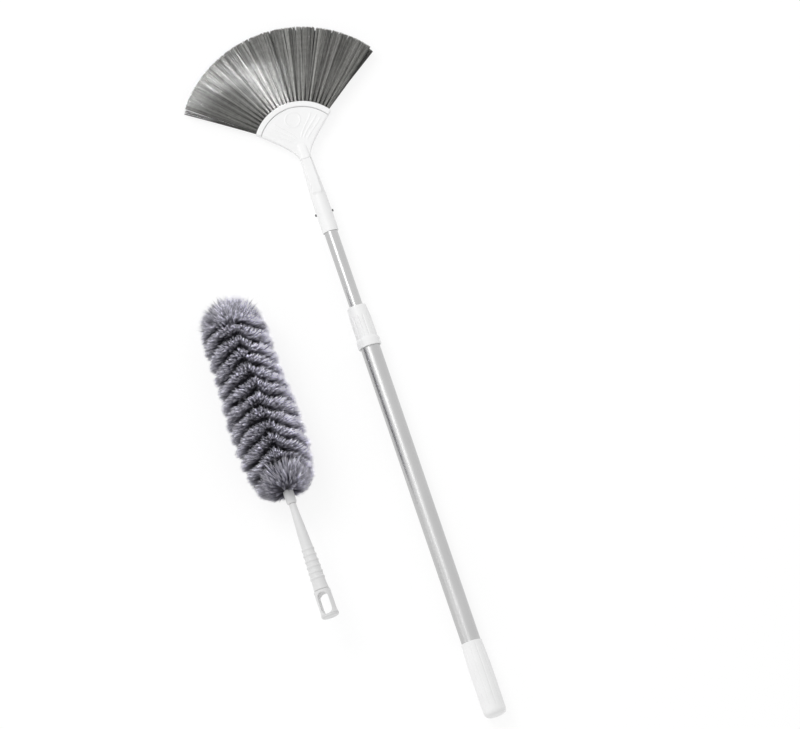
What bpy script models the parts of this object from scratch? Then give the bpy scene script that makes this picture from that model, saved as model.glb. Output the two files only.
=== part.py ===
"""A telescopic fan duster with a fluffy hand duster lying beside it.

Metres, +Z up. Both dusters lie on the ground, heads towards +Y. Each one is modelled standing
on its butt end, with its front towards -Y, under an empty that lays it down on its back.
"""

import math
import random

import bmesh
import bpy
from mathutils import Matrix, Vector

# Clearances
FIT = 0.0003
OVERRUN = 0.004
MERGE = 0.00001

# Where the hand duster lies beside the pole
AXIS_SPACING = 0.177
HAND_NECK_STATION = 0.3895

# Roundness
TUBE_STEPS = 32
RING_STEPS = 24
PIN_STEPS = 12
HANDLE_STEPS = 16
LAND_STEPS = 5

# Grip
GRIP_LENGTH = 0.110
GRIP_RADIUS = 0.0163
GRIP_MOUTH_RADIUS = 0.0149
GRIP_TAPER_LENGTH = 0.040
GRIP_END_ROUND = 0.008
GRIP_ROUND_STEPS = 4
GRIP_FLOOR = 0.006
GRIP_LANDS = 12
GRIP_GROOVE_DEPTH = 0.0006

# Outer tube
OUTER_TUBE_RADIUS = 0.0138
OUTER_TUBE_WALL = 0.001
OUTER_TUBE_VISIBLE = 0.446

# Inner tube
INNER_TUBE_RADIUS = 0.0096
INNER_TUBE_WALL = 0.0009
INNER_TUBE_VISIBLE = 0.1135
POLE_EXTENSION = 0.270
TUBE_OVERLAP = 0.060

# Lock collar
COLLAR_LENGTH = 0.061
COLLAR_SKIRT = 0.0085
COLLAR_RADIUS = 0.0166
COLLAR_WAIST_RADIUS = 0.0149
COLLAR_MOUTH_RADIUS = 0.0136
COLLAR_SHOULDER_DROP = 0.018
COLLAR_RIM = 0.0015
COLLAR_FLUTES = 12
COLLAR_FLUTE_DEPTH = 0.0007

# Collet and squeeze ring
COLLET_SHANK_LENGTH = 0.020
COLLET_FLANGE = 0.003
COLLET_THREAD_RADIUS = 0.0127
COLLET_THREAD_LENGTH = 0.010
COLLET_FINGER_LENGTH = 0.017
COLLET_TIP_RADIUS = 0.0112
COLLET_SLOT_WIDTH = 0.0015
SQUEEZE_RING_RADIUS = 0.0128
SQUEEZE_RING_LENGTH = 0.010

# Guide plug and guide ring
PLUG_SHANK_LENGTH = 0.022
PLUG_LENGTH = 0.016
PLUG_FLANGE = 0.003
PLUG_GROOVE_RADIUS = 0.0102
PLUG_BORE_RADIUS = 0.0068
GUIDE_RING_SPLIT = 0.0015

# Snap buttons and their spring
BUTTON_STATION = 0.029
BUTTON_RADIUS = 0.0019
BUTTON_PROUD = 0.0018
BUTTON_DOME = 0.0012
BUTTON_DOME_SHARES = (0.7, 0.33)
BUTTON_HEAD_RADIUS = 0.0032
BUTTON_HEAD = 0.0008
SPRING_WIDTH = 0.006
SPRING_THICKNESS = 0.0004
SPRING_DROP = 0.034
SPRING_BEND_RADIUS = 0.0022
SPRING_BEND_STEPS = 6
SPRING_PAD = 0.005

# Head socket
SOCKET_LENGTH = 0.110
SOCKET_DEPTH = 0.054
SOCKET_FOOT_RADIUS = 0.0115
SOCKET_BELLY_RADIUS = 0.0117
SOCKET_NECK_RADIUS = 0.0084
SOCKET_BELLY_SHARE = 0.38
SOCKET_RIM = 0.0008
SPINE_WIDTH = 0.0125
SPINE_PROUD = 0.0012
SPINE_FOOT = 0.058
TONGUE_HALF_WIDTH = 0.0052
TONGUE_HALF_DEPTH = 0.003
TONGUE_LENGTH = 0.028

# Fan head
FAN_CENTRE_RISE = 0.016
FAN_RADIUS = 0.1745
FAN_SPREAD = math.radians(50.0)
PLATE_SPREAD = math.radians(55.5)
BAND_RADIUS = 0.068
PLATE_RADIUS = 0.0565
BAND_HALF_DEPTH = 0.0075
COVER_HALF_DEPTH = 0.0055
COVER_SKIN = 0.002
COVER_WALL = 0.0022
NECK_HALF_WIDTH = 0.0078
EDGE_LEAD = 0.035
EDGE_DROP = 0.014
EDGE_LEAD_ANGLE = math.radians(42.0)
EDGE_STEPS = 9
BAND_EDGE_STEPS = 3
BAND_END_STEPS = 3
EDGE_SEARCH_SHARE = 0.5
EDGE_SEARCH_STEPS = 30
HUMP_LENGTH = 0.024
BLOCK_TONGUE_HALF_DEPTH = 0.002
BLOCK_TONGUE_REACH = 0.009
BLOCK_TONGUE_SPREAD = math.radians(44.0)
ARC_STEPS = 20
CUT_ARC_STEPS = ARC_STEPS + 1

# Raised ornament on the covers
RIB_HEIGHT = 0.0007
RIB_WIDTH = 0.0016
RIB_INNER_RADIUS = 0.015
RIB_OUTER_RADIUS = 0.0525
RIB_SWEEPS = ((12.0, 31.0), (26.0, 40.0), (44.0, 48.0))
RIB_POINTS = 6
RING_RADIUS = 0.0105
RING_HEIGHT_ON_PLATE = 0.043

# Bristles
FRONT_TUFTS = 24
BACK_TUFTS = 23
TUFT_WIDTH = 0.0034
TUFT_COLUMNS = 2
TUFT_ROWS = 2
ROW_OFFSET = 0.0034
ROW_DEPTH = 0.0046
ROW_TIP_OFFSET = 0.0082
BACKING_THICKNESS = 0.0027
BACKING_SUNK = 0.0008
STRAND_INSET = 0.00022
STRAND_DEPTH_SPREAD = 2.6
STRAND_TRIM = 0.002
STRAND_TIP_SHARE = 0.9
BRISTLE_SEED = 11

# Hang cap
CAP_LENGTH = 0.040
CAP_RADIUS = 0.0119
CAP_END_RADIUS = 0.0128
CAP_FLARE_LENGTH = 0.009
CAP_END_ROUND = 0.003
CAP_ROUND_SHARES = (0.25, 0.33)
CAP_SLOT_WIDTH = 0.0155
CAP_SLOT_LENGTH = 0.0325
CAP_SLOT_FOOT = 0.0035
CAP_SLOT_ROLL = math.radians(-15.0)
CAP_SLOT_STEPS = 6
CAP_PLUG_RADIUS = 0.0085
CAP_PLUG_LENGTH = 0.012

# Handle
HANDLE_LENGTH = 0.132
HANDLE_FOOT_RADIUS = 0.0109
HANDLE_NECK_RADIUS = 0.0050
HANDLE_PIN_LENGTH = 0.012
HANDLE_PIN_RADIUS = 0.0040
RIDGE_COUNT = 6
RIDGE_PITCH = 0.0086
RIDGE_HEIGHT = 0.0006
RIDGE_FOOT = 0.016
RIDGE_SHAPE_SHARES = (
    (0.0, 0.0),
    (0.25, 1.0),
    (0.5, 0.0),
)
HANDLE_SHAPE_SHARES = (
    (0.08, 0.92),
    (0.26, 0.86),
    (0.485, 0.76),
    (0.62, 0.69),
    (0.76, 0.60),
    (0.90, 0.50),
)

# Ferrule, core wire and tip cap
FERRULE_LENGTH = 0.020
FERRULE_SUNK = 0.0015
FERRULE_FOOT_RADIUS = 0.0064
FERRULE_MOUTH_RADIUS = 0.0074
FERRULE_FLARE = 0.003
WIRE_RADIUS = 0.0026
WIRE_PITCH = 0.024
WIRE_STEPS_PER_TURN = 4
WIRE_SUNK = 0.008
WIRE_CORNER_SHARES = (1.0, 0.6, 1.0, 0.6)
TIP_CAP_RADIUS = 0.004
TIP_CAP_LENGTH = 0.010
TIP_CAP_FLOOR = 0.002

# Fluffy head
HEAD_LENGTH = 0.300
HEAD_RADIUS = 0.055
HEAD_OVERHANG = 0.008
HEAD_FLAT = 0.0005
HEAD_ROOF = 0.024
HEAD_STARTS = 2
HEAD_LOBE_PITCH = 0.0215
HEAD_LOBE_DEPTH = 0.0055
HEAD_STEPS = 20
HEAD_ROWS = 50
HEAD_SHAPE_SHARES = (
    (0.0, 0.54),
    (0.04, 0.76),
    (0.075, 0.86),
    (0.145, 0.94),
    (0.215, 1.0),
    (0.41, 1.0),
    (0.47, 0.97),
    (0.58, 0.92),
    (0.81, 0.92),
    (0.845, 0.88),
    (0.88, 0.82),
    (0.92, 0.71),
    (0.955, 0.53),
    (0.985, 0.24),
)

# Stations along the standing pole
TUBE_FOOT = GRIP_FLOOR + FIT
COLLAR_FOOT = GRIP_LENGTH + OUTER_TUBE_VISIBLE
TUBE_MOUTH = COLLAR_FOOT + COLLAR_SKIRT
COLLAR_TOP = COLLAR_FOOT + COLLAR_LENGTH
INNER_FOOT = TUBE_MOUTH - POLE_EXTENSION - TUBE_OVERLAP
SOCKET_FOOT = COLLAR_TOP + INNER_TUBE_VISIBLE
INNER_TOP = SOCKET_FOOT + SOCKET_DEPTH
SOCKET_TOP = SOCKET_FOOT + SOCKET_LENGTH
FAN_CENTRE = SOCKET_TOP + FAN_CENTRE_RISE
POLE_LENGTH = FAN_CENTRE + FAN_RADIUS
BUTTON_HEIGHT = SOCKET_FOOT + BUTTON_STATION

# Stations along the standing hand duster
HANDLE_FOOT = CAP_LENGTH
HANDLE_TOP = HANDLE_FOOT + HANDLE_LENGTH
FERRULE_FOOT = HANDLE_TOP - FERRULE_SUNK
FERRULE_TOP = FERRULE_FOOT + FERRULE_LENGTH
HEAD_FOOT = FERRULE_TOP - HEAD_OVERHANG
HEAD_TOP = HEAD_FOOT + HEAD_LENGTH

# Bores that follow the pieces inside them
OUTER_TUBE_BORE = OUTER_TUBE_RADIUS - OUTER_TUBE_WALL
INNER_TUBE_BORE = INNER_TUBE_RADIUS - INNER_TUBE_WALL
SLIDING_BORE = INNER_TUBE_RADIUS + FIT
FAN_HALF_WIDTH = FAN_RADIUS * math.sin(FAN_SPREAD + TUFT_WIDTH / BAND_RADIUS / 4)

# Smooth shading breaks at edges sharper than this
SHARP_ANGLE = math.radians(35.0)

# Colour, roughness and metalness of each material
MATERIALS = {
    "white_plastic": ((0.86, 0.86, 0.85), 0.4, 0.0),
    "pale_plastic": ((0.76, 0.76, 0.75), 0.4, 0.0),
    "ferrule_plastic": ((0.55, 0.56, 0.55), 0.45, 0.0),
    "natural_nylon": ((0.72, 0.72, 0.68), 0.5, 0.0),
    "dark_plastic": ((0.12, 0.12, 0.12), 0.4, 0.0),
    "satin_tube": ((0.62, 0.62, 0.62), 0.35, 1.0),
    "bright_tube": ((0.72, 0.72, 0.72), 0.18, 1.0),
    "spring_steel": ((0.5, 0.5, 0.5), 0.3, 1.0),
    "grey_bristle": ((0.17, 0.17, 0.16), 0.45, 0.0),
    "grey_fibre": ((0.12, 0.115, 0.14), 0.9, 0.0),
}


def clear_scene():
    for obj in list(bpy.data.objects):
        bpy.data.objects.remove(obj, do_unlink=True)


def material(name):
    colour, roughness, metallic = MATERIALS[name]
    mat = bpy.data.materials.new(name)
    mat.use_nodes = True
    shader = mat.node_tree.nodes["Principled BSDF"]
    shader.inputs["Base Color"].default_value = (*colour, 1.0)
    shader.inputs["Roughness"].default_value = roughness
    shader.inputs["Metallic"].default_value = metallic
    return mat


def empty(name, location, rotation):
    obj = bpy.data.objects.new(name, None)
    obj.location = location
    obj.rotation_euler = rotation
    bpy.context.collection.objects.link(obj)
    return obj


def piece(name, bm, mat=None, parent=None, smooth=True):
    """One named solid under its empty, with its faces turned outwards."""
    bmesh.ops.recalc_face_normals(bm, faces=bm.faces)
    mesh = bpy.data.meshes.new(name)
    bm.to_mesh(mesh)
    bm.free()
    if smooth:
        mesh.shade_smooth()
        mesh.set_sharp_from_angle(angle=SHARP_ANGLE)
    obj = bpy.data.objects.new(name, mesh)
    if mat:
        mesh.materials.append(mat)
    obj.parent = parent
    bpy.context.collection.objects.link(obj)
    return obj


def helper(name, bm, parent):
    """A cutter or an addition, kept out of the build."""
    obj = piece(name, bm, parent=parent, smooth=False)
    obj.hide_render = True
    obj.display_type = "WIRE"
    return obj


def boolean(obj, other, operation="DIFFERENCE"):
    modifier = obj.modifiers.new(other.name, "BOOLEAN")
    modifier.object = other
    modifier.operation = operation
    modifier.solver = "EXACT"
    return modifier


def turned(profile, steps, start_share=0.0, shape=None):
    """Spin (radius, height) points about local Z.

    A profile that starts and ends on the axis makes a solid; any other is closed into a ring.
    shape, where given, returns the radius at an angle from the plain radius and the height.
    """
    bm = bmesh.new()
    verts = [bm.verts.new((radius, 0.0, height)) for radius, height in profile]
    pairs = list(zip(verts, verts[1:]))
    if profile[0][0] > 0 or profile[-1][0] > 0:
        pairs.append((verts[-1], verts[0]))
    edges = [bm.edges.new(pair) for pair in pairs]
    start = start_share * math.tau / steps
    bmesh.ops.rotate(bm, verts=verts, matrix=Matrix.Rotation(start, 3, "Z"))
    bmesh.ops.spin(
        bm, geom=verts + edges, axis=(0, 0, 1), cent=(0, 0, 0), steps=steps, angle=math.tau,
        use_merge=True,
    )
    bmesh.ops.remove_doubles(bm, verts=bm.verts, dist=MERGE)
    if shape:
        for vert in bm.verts:
            radius = math.hypot(vert.co.x, vert.co.y)
            if radius > MERGE:
                angle = math.atan2(vert.co.y, vert.co.x)
                share = shape(angle, radius, vert.co.z) / radius
                vert.co.x *= share
                vert.co.y *= share
    return bm


def land_shape(count, groove_depth, bore_radius, foot, top):
    """Flat lands with a narrow groove between them, on the outside between two heights."""
    land_angle = math.tau / count

    def shape(angle, radius, height):
        if radius <= bore_radius + MERGE or not foot < height < top:
            return radius
        across = (angle + land_angle / 2) % land_angle - land_angle / 2
        if abs(across) > land_angle / 2 * (1 - 1 / LAND_STEPS):
            return radius - groove_depth
        return radius / math.cos(across)

    return shape


def slab(outline, near, far):
    """A flat outline in the XZ plane, extruded along Y from near to far."""
    bm = bmesh.new()
    face = bm.faces.new([bm.verts.new((x, near, z)) for x, z in outline])
    grown = bmesh.ops.extrude_face_region(bm, geom=[face])
    moved = [item for item in grown["geom"] if isinstance(item, bmesh.types.BMVert)]
    bmesh.ops.translate(bm, verts=moved, vec=(0, far - near, 0))
    return bm


def box(low, high):
    bm = bmesh.new()
    size = Vector(high) - Vector(low)
    middle = (Vector(high) + Vector(low)) / 2
    matrix = Matrix.Translation(middle) @ Matrix.Diagonal((*size, 1.0))
    bmesh.ops.create_cube(bm, size=1.0, matrix=matrix)
    return bm


def cross_pin(radius, reach, height, steps):
    """A round bar along X through the axis, at one height."""
    bm = bmesh.new()
    matrix = Matrix.Translation((0, 0, height)) @ Matrix.Rotation(math.pi / 2, 4, "Y")
    bmesh.ops.create_cone(
        bm, cap_ends=True, segments=steps, radius1=radius, radius2=radius, depth=2 * reach,
        matrix=matrix,
    )
    return bm


def arc_points(radius, start, stop, steps):
    """Points on the fan's own circle, with angles measured from the pole to the right."""
    points = []
    for step in range(steps + 1):
        angle = start + (stop - start) * step / steps
        points.append((radius * math.sin(angle), FAN_CENTRE + radius * math.cos(angle)))
    return points


def arc_bar(low_radius, high_radius, near, far, angles):
    """A bar that follows the fan's circle, with a section at each angle."""
    bm = bmesh.new()
    sections = []
    for angle in angles:
        section = []
        for radius, depth in (
            (low_radius, near), (high_radius, near), (high_radius, far), (low_radius, far)
        ):
            x = radius * math.sin(angle)
            z = FAN_CENTRE + radius * math.cos(angle)
            section.append(bm.verts.new((x, depth, z)))
        sections.append(section)
    for before, after in zip(sections, sections[1:]):
        for index in range(4):
            follow = (index + 1) % 4
            bm.faces.new((before[index], before[follow], after[follow], after[index]))
    bm.faces.new(sections[0])
    bm.faces.new(sections[-1])
    return bm


def even_angles(spread, steps):
    return [-spread + 2 * spread * step / steps for step in range(steps + 1)]


def strip(points, width):
    """The closed outline of a band of even width along a line of points."""
    left, right = [], []
    for index, point in enumerate(points):
        before = Vector(points[max(index - 1, 0)])
        after = Vector(points[min(index + 1, len(points) - 1)])
        along = (after - before).normalized()
        side = Vector((-along.y, along.x)) * width / 2
        left.append(tuple(Vector(point) + side))
        right.append(tuple(Vector(point) - side))
    return left + right[::-1]


def between(table, share):
    """Straight-line reading of a table of (share, value share) pairs."""
    for (share_a, value_a), (share_b, value_b) in zip(table, table[1:]):
        if share <= share_b:
            part = (share - share_a) / (share_b - share_a)
            return value_a + (value_b - value_a) * max(part, 0.0)
    return table[-1][1]


# Grip and outer tube

def make_grip(parent, mat):
    bore = OUTER_TUBE_RADIUS + FIT
    profile = [(0.0, 0.0), (GRIP_RADIUS - GRIP_END_ROUND, 0.0)]
    for step in range(1, GRIP_ROUND_STEPS + 1):
        turn = math.pi / 2 * step / GRIP_ROUND_STEPS
        radius = GRIP_RADIUS - GRIP_END_ROUND * (1 - math.sin(turn))
        profile.append((radius, GRIP_END_ROUND * (1 - math.cos(turn))))
    profile += [
        (GRIP_RADIUS, GRIP_LENGTH - GRIP_TAPER_LENGTH),
        (GRIP_MOUTH_RADIUS, GRIP_LENGTH),
        (bore, GRIP_LENGTH),
        (bore, GRIP_FLOOR),
        (0.0, GRIP_FLOOR),
    ]
    shape = land_shape(
        GRIP_LANDS, GRIP_GROOVE_DEPTH, bore, GRIP_END_ROUND - MERGE, GRIP_LENGTH - MERGE
    )
    steps = GRIP_LANDS * LAND_STEPS
    return piece("grip", turned(profile, steps, 0.5, shape), mat, parent)


def tube(radius, wall, foot, top):
    bore = radius - wall
    profile = [(radius, foot), (radius, top), (bore, top), (bore, foot)]
    return turned(profile, TUBE_STEPS)


def make_outer_tube(parent, mat):
    bm = tube(OUTER_TUBE_RADIUS, OUTER_TUBE_WALL, TUBE_FOOT, TUBE_MOUTH)
    return piece("outer_tube", bm, mat, parent)


# Twist lock: collet fingers round the inner tube, a ring that squeezes them, and the collar

def finger_radius(height):
    """The collet's outside over its fingers, which taper towards their tips."""
    root = TUBE_MOUTH + FIT + COLLET_FLANGE + COLLET_THREAD_LENGTH
    share = (height - root) / COLLET_FINGER_LENGTH
    return COLLET_THREAD_RADIUS + (COLLET_TIP_RADIUS - COLLET_THREAD_RADIUS) * share


def make_collet(parent, mat):
    flange_foot = TUBE_MOUTH + FIT
    flange_top = flange_foot + COLLET_FLANGE
    finger_foot = flange_top + COLLET_THREAD_LENGTH
    finger_top = finger_foot + COLLET_FINGER_LENGTH
    shank_foot = TUBE_MOUTH - COLLET_SHANK_LENGTH
    shank_radius = OUTER_TUBE_BORE - FIT
    profile = [
        (shank_radius, shank_foot),
        (shank_radius, flange_foot),
        (OUTER_TUBE_RADIUS, flange_foot),
        (OUTER_TUBE_RADIUS, flange_top),
        (COLLET_THREAD_RADIUS, flange_top),
        (COLLET_THREAD_RADIUS, finger_foot),
        (COLLET_TIP_RADIUS, finger_top),
        (SLIDING_BORE, finger_top),
        (SLIDING_BORE, shank_foot),
    ]
    collet = piece("collet", turned(profile, RING_STEPS), mat, parent)
    reach = COLLET_THREAD_RADIUS + OVERRUN
    half = COLLET_SLOT_WIDTH / 2
    top = finger_top + OVERRUN
    for name, low, high in (
        ("collet_slot_across", (-reach, -half, finger_foot), (reach, half, top)),
        ("collet_slot_deep", (-half, -reach, finger_foot), (half, reach, top)),
    ):
        boolean(collet, helper(name, box(low, high), parent))
    return collet


def squeeze_ring_span():
    top = TUBE_MOUTH + FIT + COLLET_FLANGE + COLLET_THREAD_LENGTH + COLLET_FINGER_LENGTH
    return top - SQUEEZE_RING_LENGTH, top


def make_squeeze_ring(parent, mat):
    foot, top = squeeze_ring_span()
    profile = [
        (SQUEEZE_RING_RADIUS, foot),
        (SQUEEZE_RING_RADIUS, top),
        (finger_radius(top) + FIT, top),
        (finger_radius(foot) + FIT, foot),
    ]
    return piece("squeeze_ring", turned(profile, RING_STEPS), mat, parent)


def make_lock_collar(parent, mat):
    ring_top = squeeze_ring_span()[1] + FIT
    flange_top = TUBE_MOUTH + FIT + COLLET_FLANGE + FIT
    skirt_bore = OUTER_TUBE_RADIUS + FIT
    cavity = SQUEEZE_RING_RADIUS + FIT
    shoulder = COLLAR_TOP - COLLAR_SHOULDER_DROP
    profile = [
        (COLLAR_RADIUS - COLLAR_RIM, COLLAR_FOOT),
        (COLLAR_RADIUS, COLLAR_FOOT + COLLAR_RIM),
        (COLLAR_RADIUS, flange_top - COLLAR_RIM),
        (COLLAR_WAIST_RADIUS, flange_top + COLLAR_RIM),
        (COLLAR_WAIST_RADIUS, shoulder),
        (COLLAR_MOUTH_RADIUS, COLLAR_TOP - COLLAR_RIM),
        (COLLAR_MOUTH_RADIUS - COLLAR_RIM, COLLAR_TOP),
        (SLIDING_BORE + FIT, COLLAR_TOP),
        (SLIDING_BORE + FIT, ring_top),
        (cavity, ring_top),
        (cavity, flange_top),
        (skirt_bore, flange_top),
        (skirt_bore, COLLAR_FOOT),
    ]
    fluted = land_shape(
        COLLAR_FLUTES, COLLAR_FLUTE_DEPTH, skirt_bore, flange_top, shoulder + MERGE
    )
    bm = turned(profile, COLLAR_FLUTES * LAND_STEPS, 0.5, fluted)
    return piece("lock_collar", bm, mat, parent)


# Inner tube and what is at its two ends

def make_inner_tube(parent, mat):
    bm = tube(INNER_TUBE_RADIUS, INNER_TUBE_WALL, INNER_FOOT, INNER_TOP)
    obj = piece("inner_tube", bm, mat, parent)
    cut = cross_pin(BUTTON_RADIUS + FIT, INNER_TUBE_RADIUS + OVERRUN, BUTTON_HEIGHT, PIN_STEPS)
    boolean(obj, helper("inner_tube_button_holes", cut, parent))
    return obj


def make_guide_plug(parent, mat):
    top = INNER_FOOT - FIT
    foot = top - PLUG_LENGTH
    rim = OUTER_TUBE_BORE - 2 * FIT
    shank = INNER_TUBE_BORE - FIT
    profile = [
        (PLUG_BORE_RADIUS, foot),
        (rim, foot),
        (rim, foot + PLUG_FLANGE),
        (PLUG_GROOVE_RADIUS, foot + PLUG_FLANGE),
        (PLUG_GROOVE_RADIUS, top - PLUG_FLANGE),
        (rim, top - PLUG_FLANGE),
        (rim, top),
        (shank, top),
        (shank, top + PLUG_SHANK_LENGTH),
        (PLUG_BORE_RADIUS, top + PLUG_SHANK_LENGTH),
    ]
    return piece("guide_plug", turned(profile, RING_STEPS), mat, parent)


def make_guide_ring(parent, mat):
    top = INNER_FOOT - FIT - PLUG_FLANGE - FIT
    foot = INNER_FOOT - FIT - PLUG_LENGTH + PLUG_FLANGE + FIT
    outside = OUTER_TUBE_BORE - FIT
    inside = PLUG_GROOVE_RADIUS + FIT
    profile = [(outside, foot), (outside, top), (inside, top), (inside, foot)]
    ring = piece("guide_ring", turned(profile, RING_STEPS), mat, parent)
    half = GUIDE_RING_SPLIT / 2
    cut = box((0, -half, foot - OVERRUN), (outside + OVERRUN, half, top + OVERRUN))
    boolean(ring, helper("guide_ring_split", cut, parent))
    return ring


def button_head_face():
    """Where a button's head meets the curved bore: its rim stays clear of the wall."""
    return math.sqrt(INNER_TUBE_BORE**2 - BUTTON_HEAD_RADIUS**2) - FIT


def make_snap_button(name, side, parent, mat):
    head_face = button_head_face()
    tip = SOCKET_BELLY_RADIUS + BUTTON_PROUD
    dome_radius, dome_drop = BUTTON_DOME_SHARES
    profile = [
        (0.0, head_face - BUTTON_HEAD),
        (BUTTON_HEAD_RADIUS, head_face - BUTTON_HEAD),
        (BUTTON_HEAD_RADIUS, head_face),
        (BUTTON_RADIUS, head_face),
        (BUTTON_RADIUS, tip - BUTTON_DOME),
        (BUTTON_RADIUS * dome_radius, tip - BUTTON_DOME * dome_drop),
        (0.0, tip),
    ]
    bm = turned(profile, PIN_STEPS)
    bmesh.ops.rotate(bm, verts=bm.verts, matrix=Matrix.Rotation(side * math.pi / 2, 3, "Y"))
    button = piece(name, bm, mat, parent)
    button.location = (0, 0, BUTTON_HEIGHT)
    return button


def make_button_spring(parent, mat):
    leg = button_head_face() - BUTTON_HEAD - FIT - SPRING_THICKNESS / 2
    bend_height = BUTTON_HEIGHT - SPRING_DROP
    points = [(-leg, BUTTON_HEIGHT + SPRING_PAD), (-leg, BUTTON_HEIGHT - SPRING_PAD)]
    for step in range(SPRING_BEND_STEPS + 1):
        angle = math.pi + math.pi * step / SPRING_BEND_STEPS
        x = SPRING_BEND_RADIUS * math.cos(angle)
        points.append((x, bend_height + SPRING_BEND_RADIUS * math.sin(angle)))
    points += [(leg, BUTTON_HEIGHT - SPRING_PAD), (leg, BUTTON_HEIGHT + SPRING_PAD)]
    bm = slab(strip(points, SPRING_THICKNESS), -SPRING_WIDTH / 2, SPRING_WIDTH / 2)
    return piece("button_spring", bm, mat, parent, smooth=False)


# Fan head

def make_head_socket(parent, mat):
    belly = SOCKET_FOOT + SOCKET_LENGTH * SOCKET_BELLY_SHARE
    floor = INNER_TOP + FIT
    profile = [
        (0.0, floor),
        (SLIDING_BORE, floor),
        (SLIDING_BORE, SOCKET_FOOT),
        (SOCKET_FOOT_RADIUS - SOCKET_RIM, SOCKET_FOOT),
        (SOCKET_FOOT_RADIUS, SOCKET_FOOT + SOCKET_RIM),
        (SOCKET_BELLY_RADIUS, belly),
        (SOCKET_NECK_RADIUS, SOCKET_TOP),
        (0.0, SOCKET_TOP),
    ]
    socket = piece("head_socket", turned(profile, TUBE_STEPS), mat, parent)
    tongue = box(
        (-TONGUE_HALF_WIDTH, -TONGUE_HALF_DEPTH, SOCKET_TOP - OVERRUN),
        (TONGUE_HALF_WIDTH, TONGUE_HALF_DEPTH, SOCKET_TOP + TONGUE_LENGTH),
    )
    boolean(socket, helper("socket_tongue", tongue, parent), "UNION")
    foot_depth = SOCKET_BELLY_RADIUS
    neck_depth = SOCKET_NECK_RADIUS + SPINE_PROUD
    outline = [
        (-foot_depth, SOCKET_FOOT + SPINE_FOOT),
        (-neck_depth, SOCKET_TOP),
        (neck_depth, SOCKET_TOP),
        (foot_depth, SOCKET_FOOT + SPINE_FOOT),
    ]
    spine = slab(outline, -SPINE_WIDTH / 2, SPINE_WIDTH / 2)
    bmesh.ops.rotate(spine, verts=spine.verts, matrix=Matrix.Rotation(math.pi / 2, 3, "Z"))
    boolean(socket, helper("socket_spine", spine, parent), "UNION")
    cut = cross_pin(BUTTON_RADIUS + FIT, SOCKET_BELLY_RADIUS + OVERRUN, BUTTON_HEIGHT, PIN_STEPS)
    boolean(socket, helper("socket_button_holes", cut, parent))
    return socket


def plate_edge(share):
    """The plate's lower right edge, a cubic curve from the band's corner down to the neck."""
    corner = Vector((math.sin(PLATE_SPREAD), math.cos(PLATE_SPREAD))) * BAND_RADIUS
    lead = Vector((math.cos(EDGE_LEAD_ANGLE), math.sin(EDGE_LEAD_ANGLE))) * EDGE_LEAD
    neck = Vector((NECK_HALF_WIDTH, FIT - FAN_CENTRE_RISE))
    rest = 1 - share
    point = corner * rest**3
    point += (corner - lead) * 3 * rest**2 * share
    point += (neck + Vector((0, EDGE_DROP))) * 3 * rest * share**2
    point += neck * share**3
    return point


def plate_edge_share(radius):
    """The share of the way down the lower edge at which it comes within a radius."""
    low, high = 0.0, EDGE_SEARCH_SHARE
    for _ in range(EDGE_SEARCH_STEPS):
        middle = (low + high) / 2
        if plate_edge(middle).length > radius:
            low = middle
        else:
            high = middle
    return high


def edge_points(start, stop, steps):
    points = [plate_edge(start + (stop - start) * step / steps) for step in range(steps + 1)]
    return [(point.x, FAN_CENTRE + point.y) for point in points]


def mirrored(points):
    return [(-x, z) for x, z in reversed(points)]


def cover_outline(radius, inset):
    """The cover's outline, drawn in by a wall for the hollow behind it."""
    start = plate_edge_share(radius)
    edge = [(x - inset, z) for x, z in edge_points(start, 1.0, EDGE_STEPS)]
    edge = [(x, z) for x, z in edge if x > inset]
    corner = plate_edge(start)
    spread = math.atan2(corner.x - inset, corner.y)
    arc = arc_points(radius, -spread, spread, ARC_STEPS)
    return arc[1:-1] + edge + mirrored(edge)


def rib_solids(near, far):
    """A plain ring and curved ribs that fan out of the neck, standing on the plate."""
    bm = bmesh.new()
    outlines = []
    for inner_angle, outer_angle in RIB_SWEEPS:
        for side in (-1, 1):
            points = []
            for step in range(RIB_POINTS):
                share = step / (RIB_POINTS - 1)
                radius = RIB_INNER_RADIUS + (RIB_OUTER_RADIUS - RIB_INNER_RADIUS) * share
                turn = inner_angle + (outer_angle - inner_angle) * math.sin(share * math.pi / 2)
                angle = math.radians(turn) * side
                points.append((radius * math.sin(angle), FAN_CENTRE + radius * math.cos(angle)))
            outlines.append(strip(points, RIB_WIDTH))
    for outline in outlines:
        part = slab(outline, near, far)
        mesh = bpy.data.meshes.new("rib")
        part.to_mesh(mesh)
        part.free()
        bm.from_mesh(mesh)
        bpy.data.meshes.remove(mesh)
    middle = FAN_CENTRE + RING_HEIGHT_ON_PLATE
    outside = RING_RADIUS + RIB_WIDTH / 2
    inside = RING_RADIUS - RIB_WIDTH / 2
    profile = [(outside, near), (outside, far), (inside, far), (inside, near)]
    ring = turned(profile, RING_STEPS)
    turn = Matrix.Translation((0, 0, middle)) @ Matrix.Rotation(-math.pi / 2, 4, "X")
    bmesh.ops.transform(ring, verts=ring.verts, matrix=turn)
    mesh = bpy.data.meshes.new("ring")
    ring.to_mesh(mesh)
    ring.free()
    bm.from_mesh(mesh)
    bpy.data.meshes.remove(mesh)
    return bm


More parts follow.
